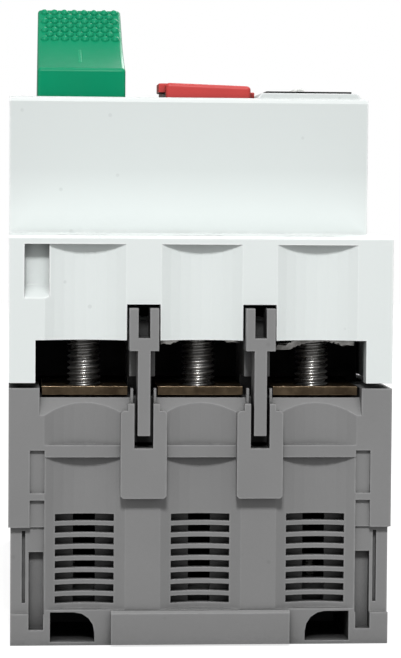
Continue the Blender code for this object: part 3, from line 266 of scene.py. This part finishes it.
def metal(name, colour, roughness, stain, stain_amount=0.4, brush=(1.0, 1.0, 12.0), edge=0.08 * MM,
          scratch=0.4, edge_highlight_gain=1.35):
    """Worked metal: rolling lines, stains in patches, edges lightened as wear and painted highlight."""
    n = Nodes(name)
    lines = n.noise(900.0, 5.0, 0.6, stretch=brush)
    patches = n.ramp(n.noise(330.0, 5.0, 0.6), 0.42, 0.66)
    tone = n.mix(n.ramp(lines, 0.35, 0.65), rgba(colour, 0.82), rgba(colour, 1.10))
    tone = n.mix(n.math("MULTIPLY", patches, stain_amount), tone, rgba(stain))
    # Lighter edges from a bevel mask: partly wear, partly painted highlight, strongest where the gain is high.
    edge_highlight_mask = n.math("MULTIPLY", n.edges(0.12 * MM), n.ramp(n.noise(800.0, 3.0), 0.35, 0.55))
    tone = n.mix(n.math("MULTIPLY", edge_highlight_mask, 0.6), tone, rgba([min(1.0, c * edge_highlight_gain) for c in colour]))
    tone = n.mix(n.math("MULTIPLY", n.crevices(0.8 * MM), 0.4), tone, rgba(stain, 0.6))
    n.feed(n.shader.inputs["Base Color"], tone)
    n.shader.inputs["Metallic"].default_value = 1.0
    shine = n.math("ADD", n.ramp(lines, 0.3, 0.7, roughness - 0.08, roughness + 0.08),
                   n.math("MULTIPLY", patches, 0.18))
    n.feed(n.shader.inputs["Roughness"], shine)
    surface = n.bump(lines, scratch, 0.01 * MM, n.rounded(edge))
    surface = n.bump(n.noise(2600.0, 3.0), scratch * 0.6, 0.012 * MM, surface)
    n.feed(n.shader.inputs["Normal"], surface)
    return n.material


def floor_material():
    """Pale studio paper: bright to the eye, with a modest bounce on the breaker."""
    n = Nodes("studio_floor")
    tone = n.mix(n.ramp(n.noise(3.0, 2.0), 0.3, 0.7), (0.34, 0.34, 0.34, 1.0), (0.36, 0.36, 0.36, 1.0))
    n.feed(n.shader.inputs["Base Color"], tone)
    n.shader.inputs["Roughness"].default_value = 0.9
    n.shader.inputs["Specular IOR Level"].default_value = 0.0
    n.shader.inputs["Emission Color"].default_value = (1.0, 1.0, 1.0, 1.0)
    seen = n.add("ShaderNodeLightPath").outputs["Is Camera Ray"]
    n.feed(n.shader.inputs["Emission Strength"], n.ramp(seen, 0.0, 1.0, 0.0, 0.74))
    behind = n.add("ShaderNodeNewGeometry").outputs["Backfacing"]
    n.feed(n.shader.inputs["Alpha"], n.ramp(behind, 0.0, 1.0, 1.0, 0.0))
    n.feed(n.shader.inputs["Normal"], n.bump(n.noise(700.0), 0.05, 0.1 * MM))
    return n.material


def make_materials():
    """One finish for each slot of the record, and a few for marks."""
    return {
        # White housing: above 50.5 to 56 mm it is painted 14 % darker as painted shade; it is one moulding.
        "white_plastic": plastic("white_plastic", (0.70, 0.74, 0.73), 0.45, grain=0.18, mottle=0.004, corner_dirt_and_shade=0.45,
                                 specks=0.25, level=0.4, recess_shade=0.40, edge_highlight=0.5,
                                 upper=(50.5 * MM, 56.0 * MM, 0.86)),
        "grey_plastic": plastic("grey_plastic", (0.212, 0.212, 0.212), 0.50, grain=0.50, mottle=0.03, corner_dirt_and_shade=0.70,
                                specks=0.20, level=0.35),
        "dark_plastic": plastic("dark_plastic", (0.006, 0.006, 0.006), 0.60, grain=0.4, mottle=0.10, corner_dirt_and_shade=0.1,
                                level=0.15),
        # Green: strong painted highlight on its crease and edges.
        "green_plastic": plastic("green_plastic", (0.001, 0.240, 0.112), 0.34, grain=0.22, mottle=0.04, level=0.10, edge_highlight=0.8),
        "red_plastic": plastic("red_plastic", (0.50, 0.050, 0.047), 0.42, grain=0.25, mottle=0.04, level=0.25),
        "pale_plastic": plastic("pale_plastic", (0.70, 0.71, 0.69), 0.40, grain=0.3, mottle=0.02),
        "steel": metal("steel", (0.50, 0.49, 0.47), 0.27, (0.16, 0.15, 0.14), 0.35),
        # Thread: a darker copy of the steel, as painted shade on the screw's thread.
        "thread": metal("thread", (0.36, 0.355, 0.345), 0.27, (0.20, 0.19, 0.18), 0.20, scratch=0.25),
        # Brass: the high edge gain paints a bright highlight along its edges.
        "brass": metal("brass", (0.125, 0.092, 0.058), 0.32, (0.03, 0.02, 0.012), 0.80, brush=(1.0, 10.0, 1.0),
                       scratch=0.9, edge_highlight_gain=4.0),
        "copper": metal("copper", (0.62, 0.30, 0.18), 0.32, (0.20, 0.09, 0.05), 0.35),
        "mark": plastic("mark", (0.62, 0.66, 0.64), 0.5, grain=0.2, mottle=0.02),
        "ink": plastic("ink", (0.03, 0.03, 0.035), 0.6, grain=0.2, mottle=0.05),
        "washer": metal("washer", (0.52, 0.51, 0.49), 0.24, (0.06, 0.055, 0.05), 0.75, scratch=1.0, edge_highlight_gain=1.6),
        "green_mark": plastic("green_mark", (0.006, 0.30, 0.145), 0.40, grain=0.2, mottle=0.02, level=0.2),
        "red_mark": plastic("red_mark", (0.55, 0.06, 0.06), 0.40, grain=0.2, mottle=0.02, level=0.25),
    }


def dress_frame(finishes):
    """Give every CAD node its detailed finish."""
    for part in frame["record"]["subparts"]:
        node = NODES[part["node"]]
        material = finishes[part["material_slot"]]
        node.data.materials.clear()
        node.data.materials.append(material)


# ---- Mesh helpers ----
class Shape:
    """Closed pieces gathered in one mesh."""

    def __init__(self):
        self.bm = bmesh.new()

    def grid(self, rows, closed_rows=False, cap_start=False, cap_end=False):
        """Skin rows of points. closed_rows joins each row's end to its start."""
        rings = [[self.bm.verts.new(point) for point in row] for row in rows]
        for lower, upper in zip(rings, rings[1:]):
            count = len(lower) if closed_rows else len(lower) - 1
            for index in range(count):
                following = (index + 1) % len(lower)
                self.bm.faces.new((lower[index], lower[following], upper[following], upper[index]))
        if cap_start:
            self.bm.faces.new(rings[0])
        if cap_end:
            self.bm.faces.new(rings[-1])
        return self

    def prism(self, axis, outline, low, high):
        """Extrude an outline along an axis."""
        rows = [[place(axis, u, v, w) for u, v in outline] for w in (low, high)]
        return self.grid(rows, closed_rows=True, cap_start=True, cap_end=True)

    def box(self, x, y, z):
        corners = [(x[0], y[0]), (x[1], y[0]), (x[1], y[1]), (x[0], y[1])]
        return self.prism("Z", corners, z[0], z[1])

    def turned(self, centre, profile, steps):
        """Revolve (radius, height) points about a vertical axis, with flat ends."""
        rows = [ring(centre, radius, height, steps) for radius, height in profile]
        return self.grid(rows, closed_rows=True, cap_start=True, cap_end=True)

    def wire(self, path, radius, sides):
        """Sweep a round wire along points."""
        rows = []
        last = None
        for index, point in enumerate(path):
            ahead = path[min(index + 1, len(path) - 1)]
            behind = path[max(index - 1, 0)]
            forward = (ahead - behind).normalized()
            side = forward.orthogonal() if last is None else last - forward * last.dot(forward)
            last = side.normalized()
            up = forward.cross(last)
            angles = [2 * math.pi * step / sides for step in range(sides)]
            rows.append([point + (last * math.cos(a) + up * math.sin(a)) * radius for a in angles])
        return self.grid(rows, closed_rows=True, cap_start=True, cap_end=True)

    def dome(self, centre, normal, along, length, width, height, rings=4, steps=14):
        """A low oblong bump on a surface."""
        across = normal.cross(along)
        rows = []
        for level in range(rings + 1):
            tilt = 0.5 * math.pi * level / rings * 0.98
            row = []
            for step in range(steps):
                angle = 2 * math.pi * step / steps
                flat = along * math.cos(angle) * length + across * math.sin(angle) * width
                row.append(centre + flat * (0.5 * math.cos(tilt)) + normal * (height * (math.sin(tilt) - 0.3)))
            rows.append(row)
        return self.grid(rows, closed_rows=True, cap_start=True, cap_end=True)


def place(axis, u, v, w):
    if axis == "X":
        return Vector((w, u, v))
    if axis == "Y":
        return Vector((u, w, v))
    return Vector((u, v, w))


def ring(centre, radius, height, steps):
    angles = [2 * math.pi * step / steps for step in range(steps)]
    return [Vector((centre[0] + radius * math.cos(a), centre[1] + radius * math.sin(a), height)) for a in angles]


def finish_mesh(name, shape, material, smooth_angle=35.0):
    """Turn gathered pieces into a shaded object."""
    bmesh.ops.recalc_face_normals(shape.bm, faces=shape.bm.faces)
    mesh = bpy.data.meshes.new(name)
    shape.bm.to_mesh(mesh)
    shape.bm.free()
    mesh.materials.append(material)
    mesh.shade_smooth()
    mesh.set_sharp_from_angle(angle=math.radians(smooth_angle))
    piece = bpy.data.objects.new(name, mesh)
    bpy.context.scene.collection.objects.link(piece)
    return piece


def soften(piece, width, segments=3, angle=40.0):
    """Round the edges of a piece with real geometry."""
    bevel = piece.modifiers.new("edge_round", "BEVEL")
    bevel.width = width
    bevel.segments = segments
    bevel.limit_method = "ANGLE"
    bevel.angle_limit = math.radians(angle)
    bevel.harden_normals = True
    return piece


def carve(piece, shape, name):
    """Cut a shape from a piece."""
    bmesh.ops.recalc_face_normals(shape.bm, faces=shape.bm.faces)
    mesh = bpy.data.meshes.new(name)
    shape.bm.to_mesh(mesh)
    shape.bm.free()
    tool = bpy.data.objects.new(name, mesh)
    tool.hide_render = True
    tool.hide_viewport = True
    tool.display_type = "WIRE"
    bpy.context.scene.collection.objects.link(tool)
    change = piece.modifiers.new(name, "BOOLEAN")
    change.object = tool
    change.solver = "EXACT"
    return tool


def body_of_node(node):
    """The body that a CAD node belongs to."""
    for body, nodes in frame["record"]["behaviour"]["bodies"].items():
        if node in nodes:
            return body
    raise KeyError(node)


def stand_for(piece, node):
    """Put a finer piece in the place of a CAD node."""
    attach(piece, body_of_node(node))
    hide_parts(node)


def detail(piece, node, slot):
    """Add a small piece that rides with a CAD node."""
    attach(piece, body_of_node(node))


def middle_of(node):
    low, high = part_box(node)
    return (Vector(low) + Vector(high)) / 2


# ---- Screws ----
THREAD_PITCH = 0.7 * MM
THREAD_DEPTH = 0.36 * MM
THREAD_ROWS = 8
THREAD_STEPS = 40
HEAD_HEIGHT = 2.6 * MM
SHANK_RADIUS = 1.98 * MM


def thread_radius(height, turn):
    """Radius of the thread's flank at a height, for a share of a turn."""
    phase = (height / THREAD_PITCH - turn) % 1.0
    ridge = 1.0 - abs(2.0 * phase - 1.0)
    crest = min(1.0, max(0.0, ridge * 1.35 - 0.17))
    return SHANK_RADIUS - THREAD_DEPTH * (1.0 - crest)


def terminal_screw(node, finishes):
    """M4 clamp screw: rolled thread, cheese head and cross recess."""
    low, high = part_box(node)
    centre = ((low[0] + high[0]) / 2, (low[1] + high[1]) / 2)
    seat = high[2] - HEAD_HEIGHT
    head_radius = (high[0] - low[0]) / 2
    count = int((seat - low[2]) / THREAD_PITCH * THREAD_ROWS)
    rows = []
    for index in range(count + 1):
        height = low[2] + (seat - low[2]) * index / count
        taper = min(1.0, (height - low[2]) / THREAD_PITCH + 0.35)
        row = []
        for step in range(THREAD_STEPS):
            turn = step / THREAD_STEPS
            radius = thread_radius(height, turn) * (0.62 + 0.38 * taper)
            angle = 2 * math.pi * turn
            row.append(Vector((centre[0] + radius * math.cos(angle), centre[1] + radius * math.sin(angle), height)))
        rows.append(row)
    shape = Shape().grid(rows, closed_rows=True, cap_start=True, cap_end=True)
    shank = finish_mesh(f"{node}_thread", shape, finishes["thread"], 80.0)
    stand_for(shank, node)
    r = head_radius
    profile = [(r * 0.90, seat + 0.02 * MM), (r * 0.97, seat + 0.12 * MM), (r, seat + 0.35 * MM),
               (r, high[2] - 0.75 * MM), (r * 0.97, high[2] - 0.45 * MM), (r * 0.88, high[2] - 0.2 * MM),
               (r * 0.70, high[2] - 0.05 * MM), (r * 0.40, high[2])]
    head = finish_mesh(f"{node}_head", Shape().turned(centre, profile, 48), finishes["steel"], 50.0)
    recess = Shape()
    for arm_x, arm_y in ((0.62, 0.17), (0.17, 0.62)):
        top = high[2] + 0.3 * MM
        bottom = high[2] - 1.7 * MM
        upper = [(r * arm_x, r * arm_y), (-r * arm_x, r * arm_y), (-r * arm_x, -r * arm_y), (r * arm_x, -r * arm_y)]
        rows = [[Vector((centre[0] + x * s, centre[1] + y * s, z)) for x, y in upper]
                for s, z in ((0.55, bottom), (1.0, top))]
        recess.grid(rows, closed_rows=True, cap_start=True, cap_end=True)
    tool = carve(head, recess, f"{node}_recess")
    head.modifiers[-1].use_self = True
    detail(head, node, "steel")
    tool.parent = head


# ---- Clamp washers and terminal plates ----
WASHER_THICK = 0.8 * MM
WASHER_RINGS = 10
WASHER_STEPS = 120
WASHER_HOLE = 2.35 * MM
WASHER_TILT = {"left": 0.0, "middle": 0.03, "right": 0.10}
TOOTH_PITCH = 0.55 * MM
TOOTH_HEIGHT = 0.28 * MM


def washer_height(x, y, half_x, tilt):
    """Underside of the dished washer above its lowest edge."""
    dish = 0.9 * MM * (1.0 - min(1.0, abs(x) / (0.72 * half_x)) ** 2)
    teeth = TOOTH_HEIGHT * abs((((x + 0.5 * y) / TOOTH_PITCH) % 1.0) - 0.5) * 2.0 * min(1.0, abs(x) / (0.4 * half_x))
    return dish + teeth + tilt * x


def clamp_washer(node, tilt, finishes):
    """Dished square washer with teeth pressed into its bent sides."""
    low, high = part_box(node)
    centre = middle_of(node)
    axis_y = math.copysign(38.5 * MM, centre.y)
    half_x = (high[0] - low[0]) / 2
    edges_y = (low[1] - axis_y, high[1] - axis_y)
    lower = []
    upper = []
    for level in range(WASHER_RINGS + 1):
        share = level / WASHER_RINGS
        row_low = []
        row_high = []
        for step in range(WASHER_STEPS):
            angle = 2 * math.pi * step / WASHER_STEPS
            dx, dy = math.cos(angle), math.sin(angle)
            reach_y = (edges_y[1] if dy > 0 else -edges_y[0]) / max(abs(dy), 1e-6)
            edge = min(half_x / max(abs(dx), 1e-6), reach_y)
            radius = WASHER_HOLE + (edge - WASHER_HOLE) * share
            x, y = dx * radius, dy * radius
            lift = washer_height(x, y, half_x, tilt)
            floor_z = max(low[2], low[2] + lift)
            top_z = min(high[2], low[2] + lift + WASHER_THICK)
            row_low.append(Vector((centre.x + x, axis_y + y, floor_z)))
            row_high.append(Vector((centre.x + x, axis_y + y, max(top_z, floor_z + 0.3 * MM))))
        lower.append(row_low)
        upper.append(row_high)
    rows = lower + upper[::-1] + [lower[0]]
    shape = Shape().grid(rows[:-1], closed_rows=True)
    first = shape.bm.verts
    first.ensure_lookup_table()
    count = WASHER_STEPS
    start = [first[index] for index in range(count)]
    last = [first[index + count * (len(rows) - 2)] for index in range(count)]
    for index in range(count):
        following = (index + 1) % count
        shape.bm.faces.new((last[index], last[following], start[following], start[index]))
    washer = finish_mesh(f"{node}_dished", shape, finishes["washer"], 30.0)
    stand_for(washer, node)


def terminal_plate(node, end, finishes):
    """Brass plate with raised pips in front of the screw and a burr-rounded edge."""
    plate = NODES[node]
    soften(plate, 0.12 * MM, 2)
    low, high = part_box(node)
    centre = middle_of(node)
    front = min(low[1], high[1]) if end < 0 else max(low[1], high[1])
    shape = Shape()
    for offset in (-3.6, -1.9, 1.9, 3.6):
        spot = Vector((centre.x + offset * MM, front - end * 1.3 * MM, high[2]))
        shape.dome(spot, Vector((0, 0, 1)), Vector((1, 0, 0)), 0.9 * MM, 0.8 * MM, 0.14 * MM)
    pips = finish_mesh(f"{node}_pips", shape, finishes["brass"], 60.0)
    detail(pips, node, "brass")


# ---- Buttons ----
START_TAPER = 0.2 * MM
KNURL_ROWS = 7
KNURL_COUNT = 8
KNURL_PITCH = 1.33 * MM
BUMP = (1.16 * MM, 1.30 * MM, 0.62 * MM)


def start_button(finishes):
    """Green button with a dished slope, raised mark and staggered grip bumps."""
    node = "start_button"
    low, high = (Vector(corner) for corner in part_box(node))
    flange = 1.0 * MM
    x0, x1 = low.x + flange, high.x - flange
    y0, y1 = low.y + flange, high.y - flange
    taper = START_TAPER
    crease = high.z - 8.8 * MM
    knee = Vector((0.0, y0 + 10.0 * MM, high.z - 4.8 * MM))
    skirt = high.z - 15.4 * MM
    round_top = 0.7 * MM
    side = [(y0, skirt), (y0, crease)]
    slope_steps = 8
    for step in range(1, slope_steps):
        share = step / slope_steps
        sag = 0.35 * MM * math.sin(math.pi * share)
        side.append((y0 + (knee.y - y0) * share, crease + (knee.z - crease) * share - sag))
    side.append((knee.y, knee.z))
    side.append((y1 - round_top, high.z - 0.03 * MM))
    side.append((y1, high.z - round_top))
    side.append((y1, skirt))
    shape = Shape().prism("X", side, x0, x1)
    for vertex in shape.bm.verts:
        if vertex.co.x < (x0 + x1) / 2 and vertex.co.z > crease:
            vertex.co.x += taper * (vertex.co.z - crease) / (high.z - crease)
    button = finish_mesh("start_button_cap", shape, finishes["green_plastic"], 28.0)
    soften(button, 0.45 * MM, 4, 30.0)
    stand_for(button, node)
    rim = Shape().box((low.x, high.x), (low.y, high.y), (skirt - 1.2 * MM, skirt))
    rim_piece = soften(finish_mesh("start_button_rim", rim, finishes["green_plastic"]), 0.2 * MM)
    detail(rim_piece, node, "green_plastic")
    centre = ((low.x + high.x) / 2, (low.y + high.y) / 2)
    stem = Shape().turned(centre, [(1.6 * MM, low.z), (1.8 * MM, low.z + 0.3 * MM), (1.8 * MM, skirt)], 32)
    detail(finish_mesh("start_button_stem", stem, finishes["green_plastic"]), node, "green_plastic")
    slope = Vector((0.0, y1 - round_top - knee.y, high.z - knee.z)).normalized()
    normal = Vector((0.0, -slope.z, slope.y))
    length = Vector((0.0, y1 - round_top - knee.y, high.z - knee.z)).length
    bumps = Shape()
    for row in range(KNURL_ROWS):
        share = (row + 0.55) / KNURL_ROWS
        base = Vector((0.0, knee.y, knee.z)) + slope * (length * share * 0.94)
        left = x0 + taper * (base.z - crease) / (high.z - crease)
        count = KNURL_COUNT - row % 2
        middle = (left + x1) / 2
        for index in range(count):
            offset = (index - (count - 1) / 2) * KNURL_PITCH
            spot = Vector((middle + offset, base.y, base.z))
            bumps.dome(spot, normal, Vector((1, 0, 0)), *BUMP)
    grip = finish_mesh("start_button_grip", bumps, finishes["green_plastic"], 60.0)
    detail(grip, node, "green_plastic")
    slant = (knee - Vector((0.0, y0, crease))).normalized()
    slant.x = 0.0
    up = Vector((0.0, -slant.z, slant.y))
    centre_mark = Vector(((x0 + x1) / 2 - 0.1 * MM, y0 + 5.3 * MM, crease + 5.3 * MM * slant.z / slant.y - 0.34 * MM))
    mark = Shape()
    rows = []
    for lift in (-0.25 * MM, 0.10 * MM):
        corner = []
        for across, along in ((-1, -1), (1, -1), (1, 1), (-1, 1)):
            point = centre_mark + Vector((across * 0.22 * MM, 0, 0)) + slant * (along * 2.5 * MM) + up * lift
            corner.append(point)
        rows.append(corner)
    mark.grid(rows, closed_rows=True, cap_start=True, cap_end=True)
    bar = soften(finish_mesh("start_button_mark", mark, finishes["green_plastic"]), 0.06 * MM, 2)
    detail(bar, node, "green_plastic")


def stop_button(finishes):
    """Red button with rounded edges, side tabs and a raised ring mark."""
    node = "stop_button"
    low, high = (Vector(corner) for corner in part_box(node))
    flange = 1.0 * MM
    x0, x1 = low.x + flange, high.x - flange
    y0, y1 = low.y + flange, high.y - flange
    skirt = high.z - 7.8 * MM
    outline = [(x0, skirt), (x1, skirt), (x1, high.z - 0.35 * MM), (x0, high.z)]
    cap = finish_mesh("stop_button_cap", Shape().prism("Y", outline, y0, y1), finishes["red_plastic"])
    soften(cap, 0.5 * MM, 4)
    stand_for(cap, node)
    tabs = Shape().box((x0 - 0.85 * MM, x0 + 0.8 * MM), (y0 + 1.2 * MM, y0 + 6.0 * MM),
                       (high.z - 1.25 * MM, high.z - 0.05 * MM))
    tabs.box((x1 - 0.8 * MM, x1 + 0.55 * MM), (y0 + 1.2 * MM, y0 + 6.0 * MM), (high.z - 1.9 * MM, high.z - 1.1 * MM))
    detail(soften(finish_mesh("stop_button_tab", tabs, finishes["red_plastic"]), 0.12 * MM), node, "red_plastic")
    rim = Shape().box((low.x, high.x), (low.y, high.y), (skirt, skirt + 1.0 * MM))
    detail(soften(finish_mesh("stop_button_rim", rim, finishes["red_plastic"]), 0.2 * MM), node, "red_plastic")
    centre = ((low.x + high.x) / 2, (low.y + high.y) / 2)
    stem = Shape().turned(centre, [(1.6 * MM, low.z), (1.8 * MM, low.z + 0.3 * MM), (1.8 * MM, skirt)], 32)
    detail(finish_mesh("stop_button_stem", stem, finishes["red_plastic"]), node, "red_plastic")
    tilt = -0.35 / 10.8
    path = []
    for step in range(49):
        angle = 2 * math.pi * step / 48
        dx = 2.0 * MM * math.cos(angle)
        path.append(Vector((centre[0] + dx, centre[1] + 2.0 * MM * math.sin(angle),
                            high.z - 0.19 * MM + dx * tilt)))
    ring_mark = finish_mesh("stop_button_mark", Shape().wire(path, 0.26 * MM, 10), finishes["red_mark"], 60.0)
    detail(ring_mark, node, "red_plastic")


# ---- Dial and scale ----
def current_dial(finishes):
    """Dial with a knurled rim, a domed arrow-shaped grip and a coloured pointer line."""
    node = "current_dial"
    low, high = (Vector(corner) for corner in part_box(node))
    centre = ((low.x + high.x) / 2, (low.y + high.y) / 2)
    face = high.z - 0.8 * MM
    radius = 4.2 * MM
    rows = []
    steps = 96
    profile = [(2.0 * MM, low.z, 0), (2.0 * MM, face - 4.5 * MM, 0), (5.3 * MM, face - 4.4 * MM, 0),
               (5.3 * MM, face - 3.4 * MM, 0), (radius, face - 3.3 * MM, 0), (radius, face - 0.25 * MM, 1),
               (radius - 0.25 * MM, face, 1), (radius - 0.9 * MM, face, 0), (radius - 1.1 * MM, face - 0.25 * MM, 0),
               (0.6 * MM, face - 0.25 * MM, 0)]
    for base, height, toothed in profile:
        row = []
        for step in range(steps):
            tooth = 0.12 * MM * toothed * (0.5 + 0.5 * math.cos(2 * math.pi * step / steps * 32))
            angle = 2 * math.pi * step / steps
            reach = base - tooth
            row.append(Vector((centre[0] + reach * math.cos(angle), centre[1] + reach * math.sin(angle), height)))
        rows.append(row)
    shape = Shape().grid(rows, closed_rows=True, cap_start=True, cap_end=True)
    dial = finish_mesh("current_dial_disc", shape, finishes["pale_plastic"])
    stand_for(dial, node)
    half_w = 1.05 * MM
    outline = [(centre[0] - half_w, face - 0.5 * MM), (centre[0] + half_w, face - 0.5 * MM)]
    for step in range(13):
        angle = math.pi * step / 12
        outline.append((centre[0] + half_w * math.cos(angle), high.z - half_w + half_w * math.sin(angle)))
    grip = finish_mesh("current_dial_grip", Shape().prism("Y", outline, centre[1] - 3.1 * MM, centre[1] + 3.1 * MM),
                       finishes["pale_plastic"])
    soften(grip, 0.3 * MM, 3, 50.0)
    detail(grip, node, "pale_plastic")
    line = Shape().box((centre[0] - 0.15 * MM, centre[0] + 0.15 * MM),
                       (centre[1] + 0.6 * MM, centre[1] + 2.7 * MM), (high.z - 0.3 * MM, high.z))
    detail(finish_mesh("current_dial_pointer", line, finishes["ink"]), node, "pale_plastic")


def scale_marks(finishes):
    """Ticks and numbers round the dial, printed a hair above the scale plate."""
    node = "scale_plate"
    soften(NODES[node], 0.08 * MM, 2)
    dial_low, dial_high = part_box("current_dial")
    centre = Vector(((dial_low[0] + dial_high[0]) / 2, (dial_low[1] + dial_high[1]) / 2, 0.0))
    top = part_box(node)[1][2]
    ticks = Shape()
    print_height = 0.02 * MM
    for index in range(11):
        angle = math.radians(90 + 130 - 26 * index)
        if abs(math.cos(angle)) > 0.86:
            continue
        out = Vector((math.cos(angle), math.sin(angle), 0.0))
        side = Vector((-out.y, out.x, 0.0)) * 0.11 * MM
        rows = []
        for height in (top - print_height, top + print_height):
            inner = centre + out * (4.75 * MM)
            outer = centre + out * (5.35 * MM if index % 2 else 5.75 * MM)
            rows.append([Vector((p.x, p.y, height)) for p in (inner - side, inner + side, outer + side, outer - side)])
        ticks.grid(rows, closed_rows=True, cap_start=True, cap_end=True)
    detail(finish_mesh("scale_plate_ticks", ticks, finishes["mark"]), node, "dark_plastic")
    labels = (("6", -3.6, 5.6), ("8", 0.0, 6.4), ("10", 3.3, 5.6), ("A", 0.0, -8.2))
    for text, dx, dy in labels:
        curve = bpy.data.curves.new(f"scale_{text}", "FONT")
        curve.body = text
        curve.size = 2.1 * MM
        curve.align_x = "CENTER"
        curve.align_y = "CENTER"
        curve.extrude = print_height
        curve.materials.append(finishes["mark"])
        label = bpy.data.objects.new(f"scale_number_{text}", curve)
        label.location = (centre.x + dx * MM, centre.y + dy * MM, top)
        bpy.context.scene.collection.objects.link(label)
        detail(label, node, "dark_plastic")


# ---- Springs ----
def spring(node, finishes, axis, turns, wire=0.3 * MM, rest=0.75, joint=None):
    """Closed-end coil spring that fills its CAD node's box; with a joint it gets a mesh of its own."""
    low, high = (Vector(corner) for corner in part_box(node))
    centre = (low + high) / 2
    steps = turns * 28
    if axis == "Z":
        radius = (high.x - low.x) / 2 - wire
        start, end = low.z + wire, high.z - wire
    else:
        radius = (high.x - low.x) / 2 - wire
        start, end = low.y + wire, high.y - wire
    path = []
    for step in range(steps + 1):
        share = step / steps
        angle = 2 * math.pi * turns * share
        dead = rest / turns
        climb = min(1.0, max(0.0, (share - dead) / (1.0 - 2.0 * dead)))
        along = start + (end - start) * climb
        u, v = radius * math.cos(angle), radius * math.sin(angle)
        if axis == "Z":
            path.append(Vector((centre.x + u, centre.y + v, along)))
        else:
            path.append(Vector((centre.x + u, along, centre.z + v)))
    coil = finish_mesh(f"{node}_coil", Shape().wire(path, wire, 10), finishes["steel"], 60.0)
    stand_for(coil, node)
    if joint:
        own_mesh(coil)


def trip_coil(node, finishes):
    """Copper winding on a dark bobbin, with its plunger."""
    low, high = (Vector(corner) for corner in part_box(node))
    centre = ((low.x + high.x) / 2, (low.y + high.y) / 2)
    flange = (high.x - low.x) / 2
    wire = 0.55 * MM
    bottom, top = low.z + 1.0 * MM, high.z - 2.0 * MM
    bobbin = [(flange, low.z), (flange, bottom), (flange - 2.2 * MM, bottom), (flange - 2.2 * MM, top),
              (flange, top), (flange, top + 1.0 * MM), (1.7 * MM, top + 1.0 * MM)]
    body = finish_mesh(f"{node}_bobbin", Shape().turned(centre, bobbin, 48), finishes["dark_plastic"])
    stand_for(body, node)
    turns = int((top - bottom) / (2 * wire)) - 1
    path = []
    for step in range(turns * 24 + 1):
        angle = 2 * math.pi * step / 24
        radius = flange - 1.1 * MM
        along = bottom + wire + (top - bottom - 2 * wire) * step / (turns * 24)
        path.append(Vector((centre[0] + radius * math.cos(angle), centre[1] + radius * math.sin(angle), along)))
    winding = finish_mesh(f"{node}_winding", Shape().wire(path, wire, 8), finishes["copper"], 60.0)
    detail(winding, node, "copper")
    plunger = [(1.5 * MM, top + 0.5 * MM), (1.5 * MM, high.z - 0.2 * MM), (1.3 * MM, high.z)]
    detail(finish_mesh(f"{node}_plunger", Shape().turned(centre, plunger, 32), finishes["steel"]), node, "steel")


# ---- Frame nodes that keep their own shape ----
ROUNDED_NODES = {
    "phase_barrier": 0.12, "barrier_clip": 0.18, "din_clip": 0.18, "moving_contact": 0.12,
    "bimetal": 0.08, "latch_lever": 0.10, "trip_bar": 0.10, "contact_carrier": 0.15, "test_slide": 0.12,
}


def round_frame_nodes():
    """Give the simple CAD nodes real rounded edges."""
    for name, node in NODES.items():
        for start, radius in ROUNDED_NODES.items():
            if name.startswith(start):
                soften(node, radius * MM, 2, 40.0)


def build():
    add_camera()
    finishes = make_materials()
    dress_frame(finishes)
    round_frame_nodes()
    start_button(finishes)
    stop_button(finishes)
    current_dial(finishes)
    scale_marks(finishes)
    for end_name, end in ENDS.items():
        for pole in POLE_NAMES:
            terminal_screw(f"terminal_screw_{end_name}_{pole}", finishes)
            clamp_washer(f"clamp_washer_{end_name}_{pole}", WASHER_TILT[pole], finishes)
            terminal_plate(f"terminal_plate_{end_name}_{pole}", end, finishes)
    spring("start_spring", finishes, "Z", 8, joint="start_press")
    spring("stop_spring", finishes, "Z", 4)
    spring("contact_return_spring", finishes, "Z", 10, joint="start_press")
    spring("din_clip_spring", finishes, "Y", 9, wire=0.25 * MM, joint="rail_clip_pull")
    for pole in POLE_NAMES:
        trip_coil(f"trip_coil_{pole}", finishes)
    add_studio()


build()
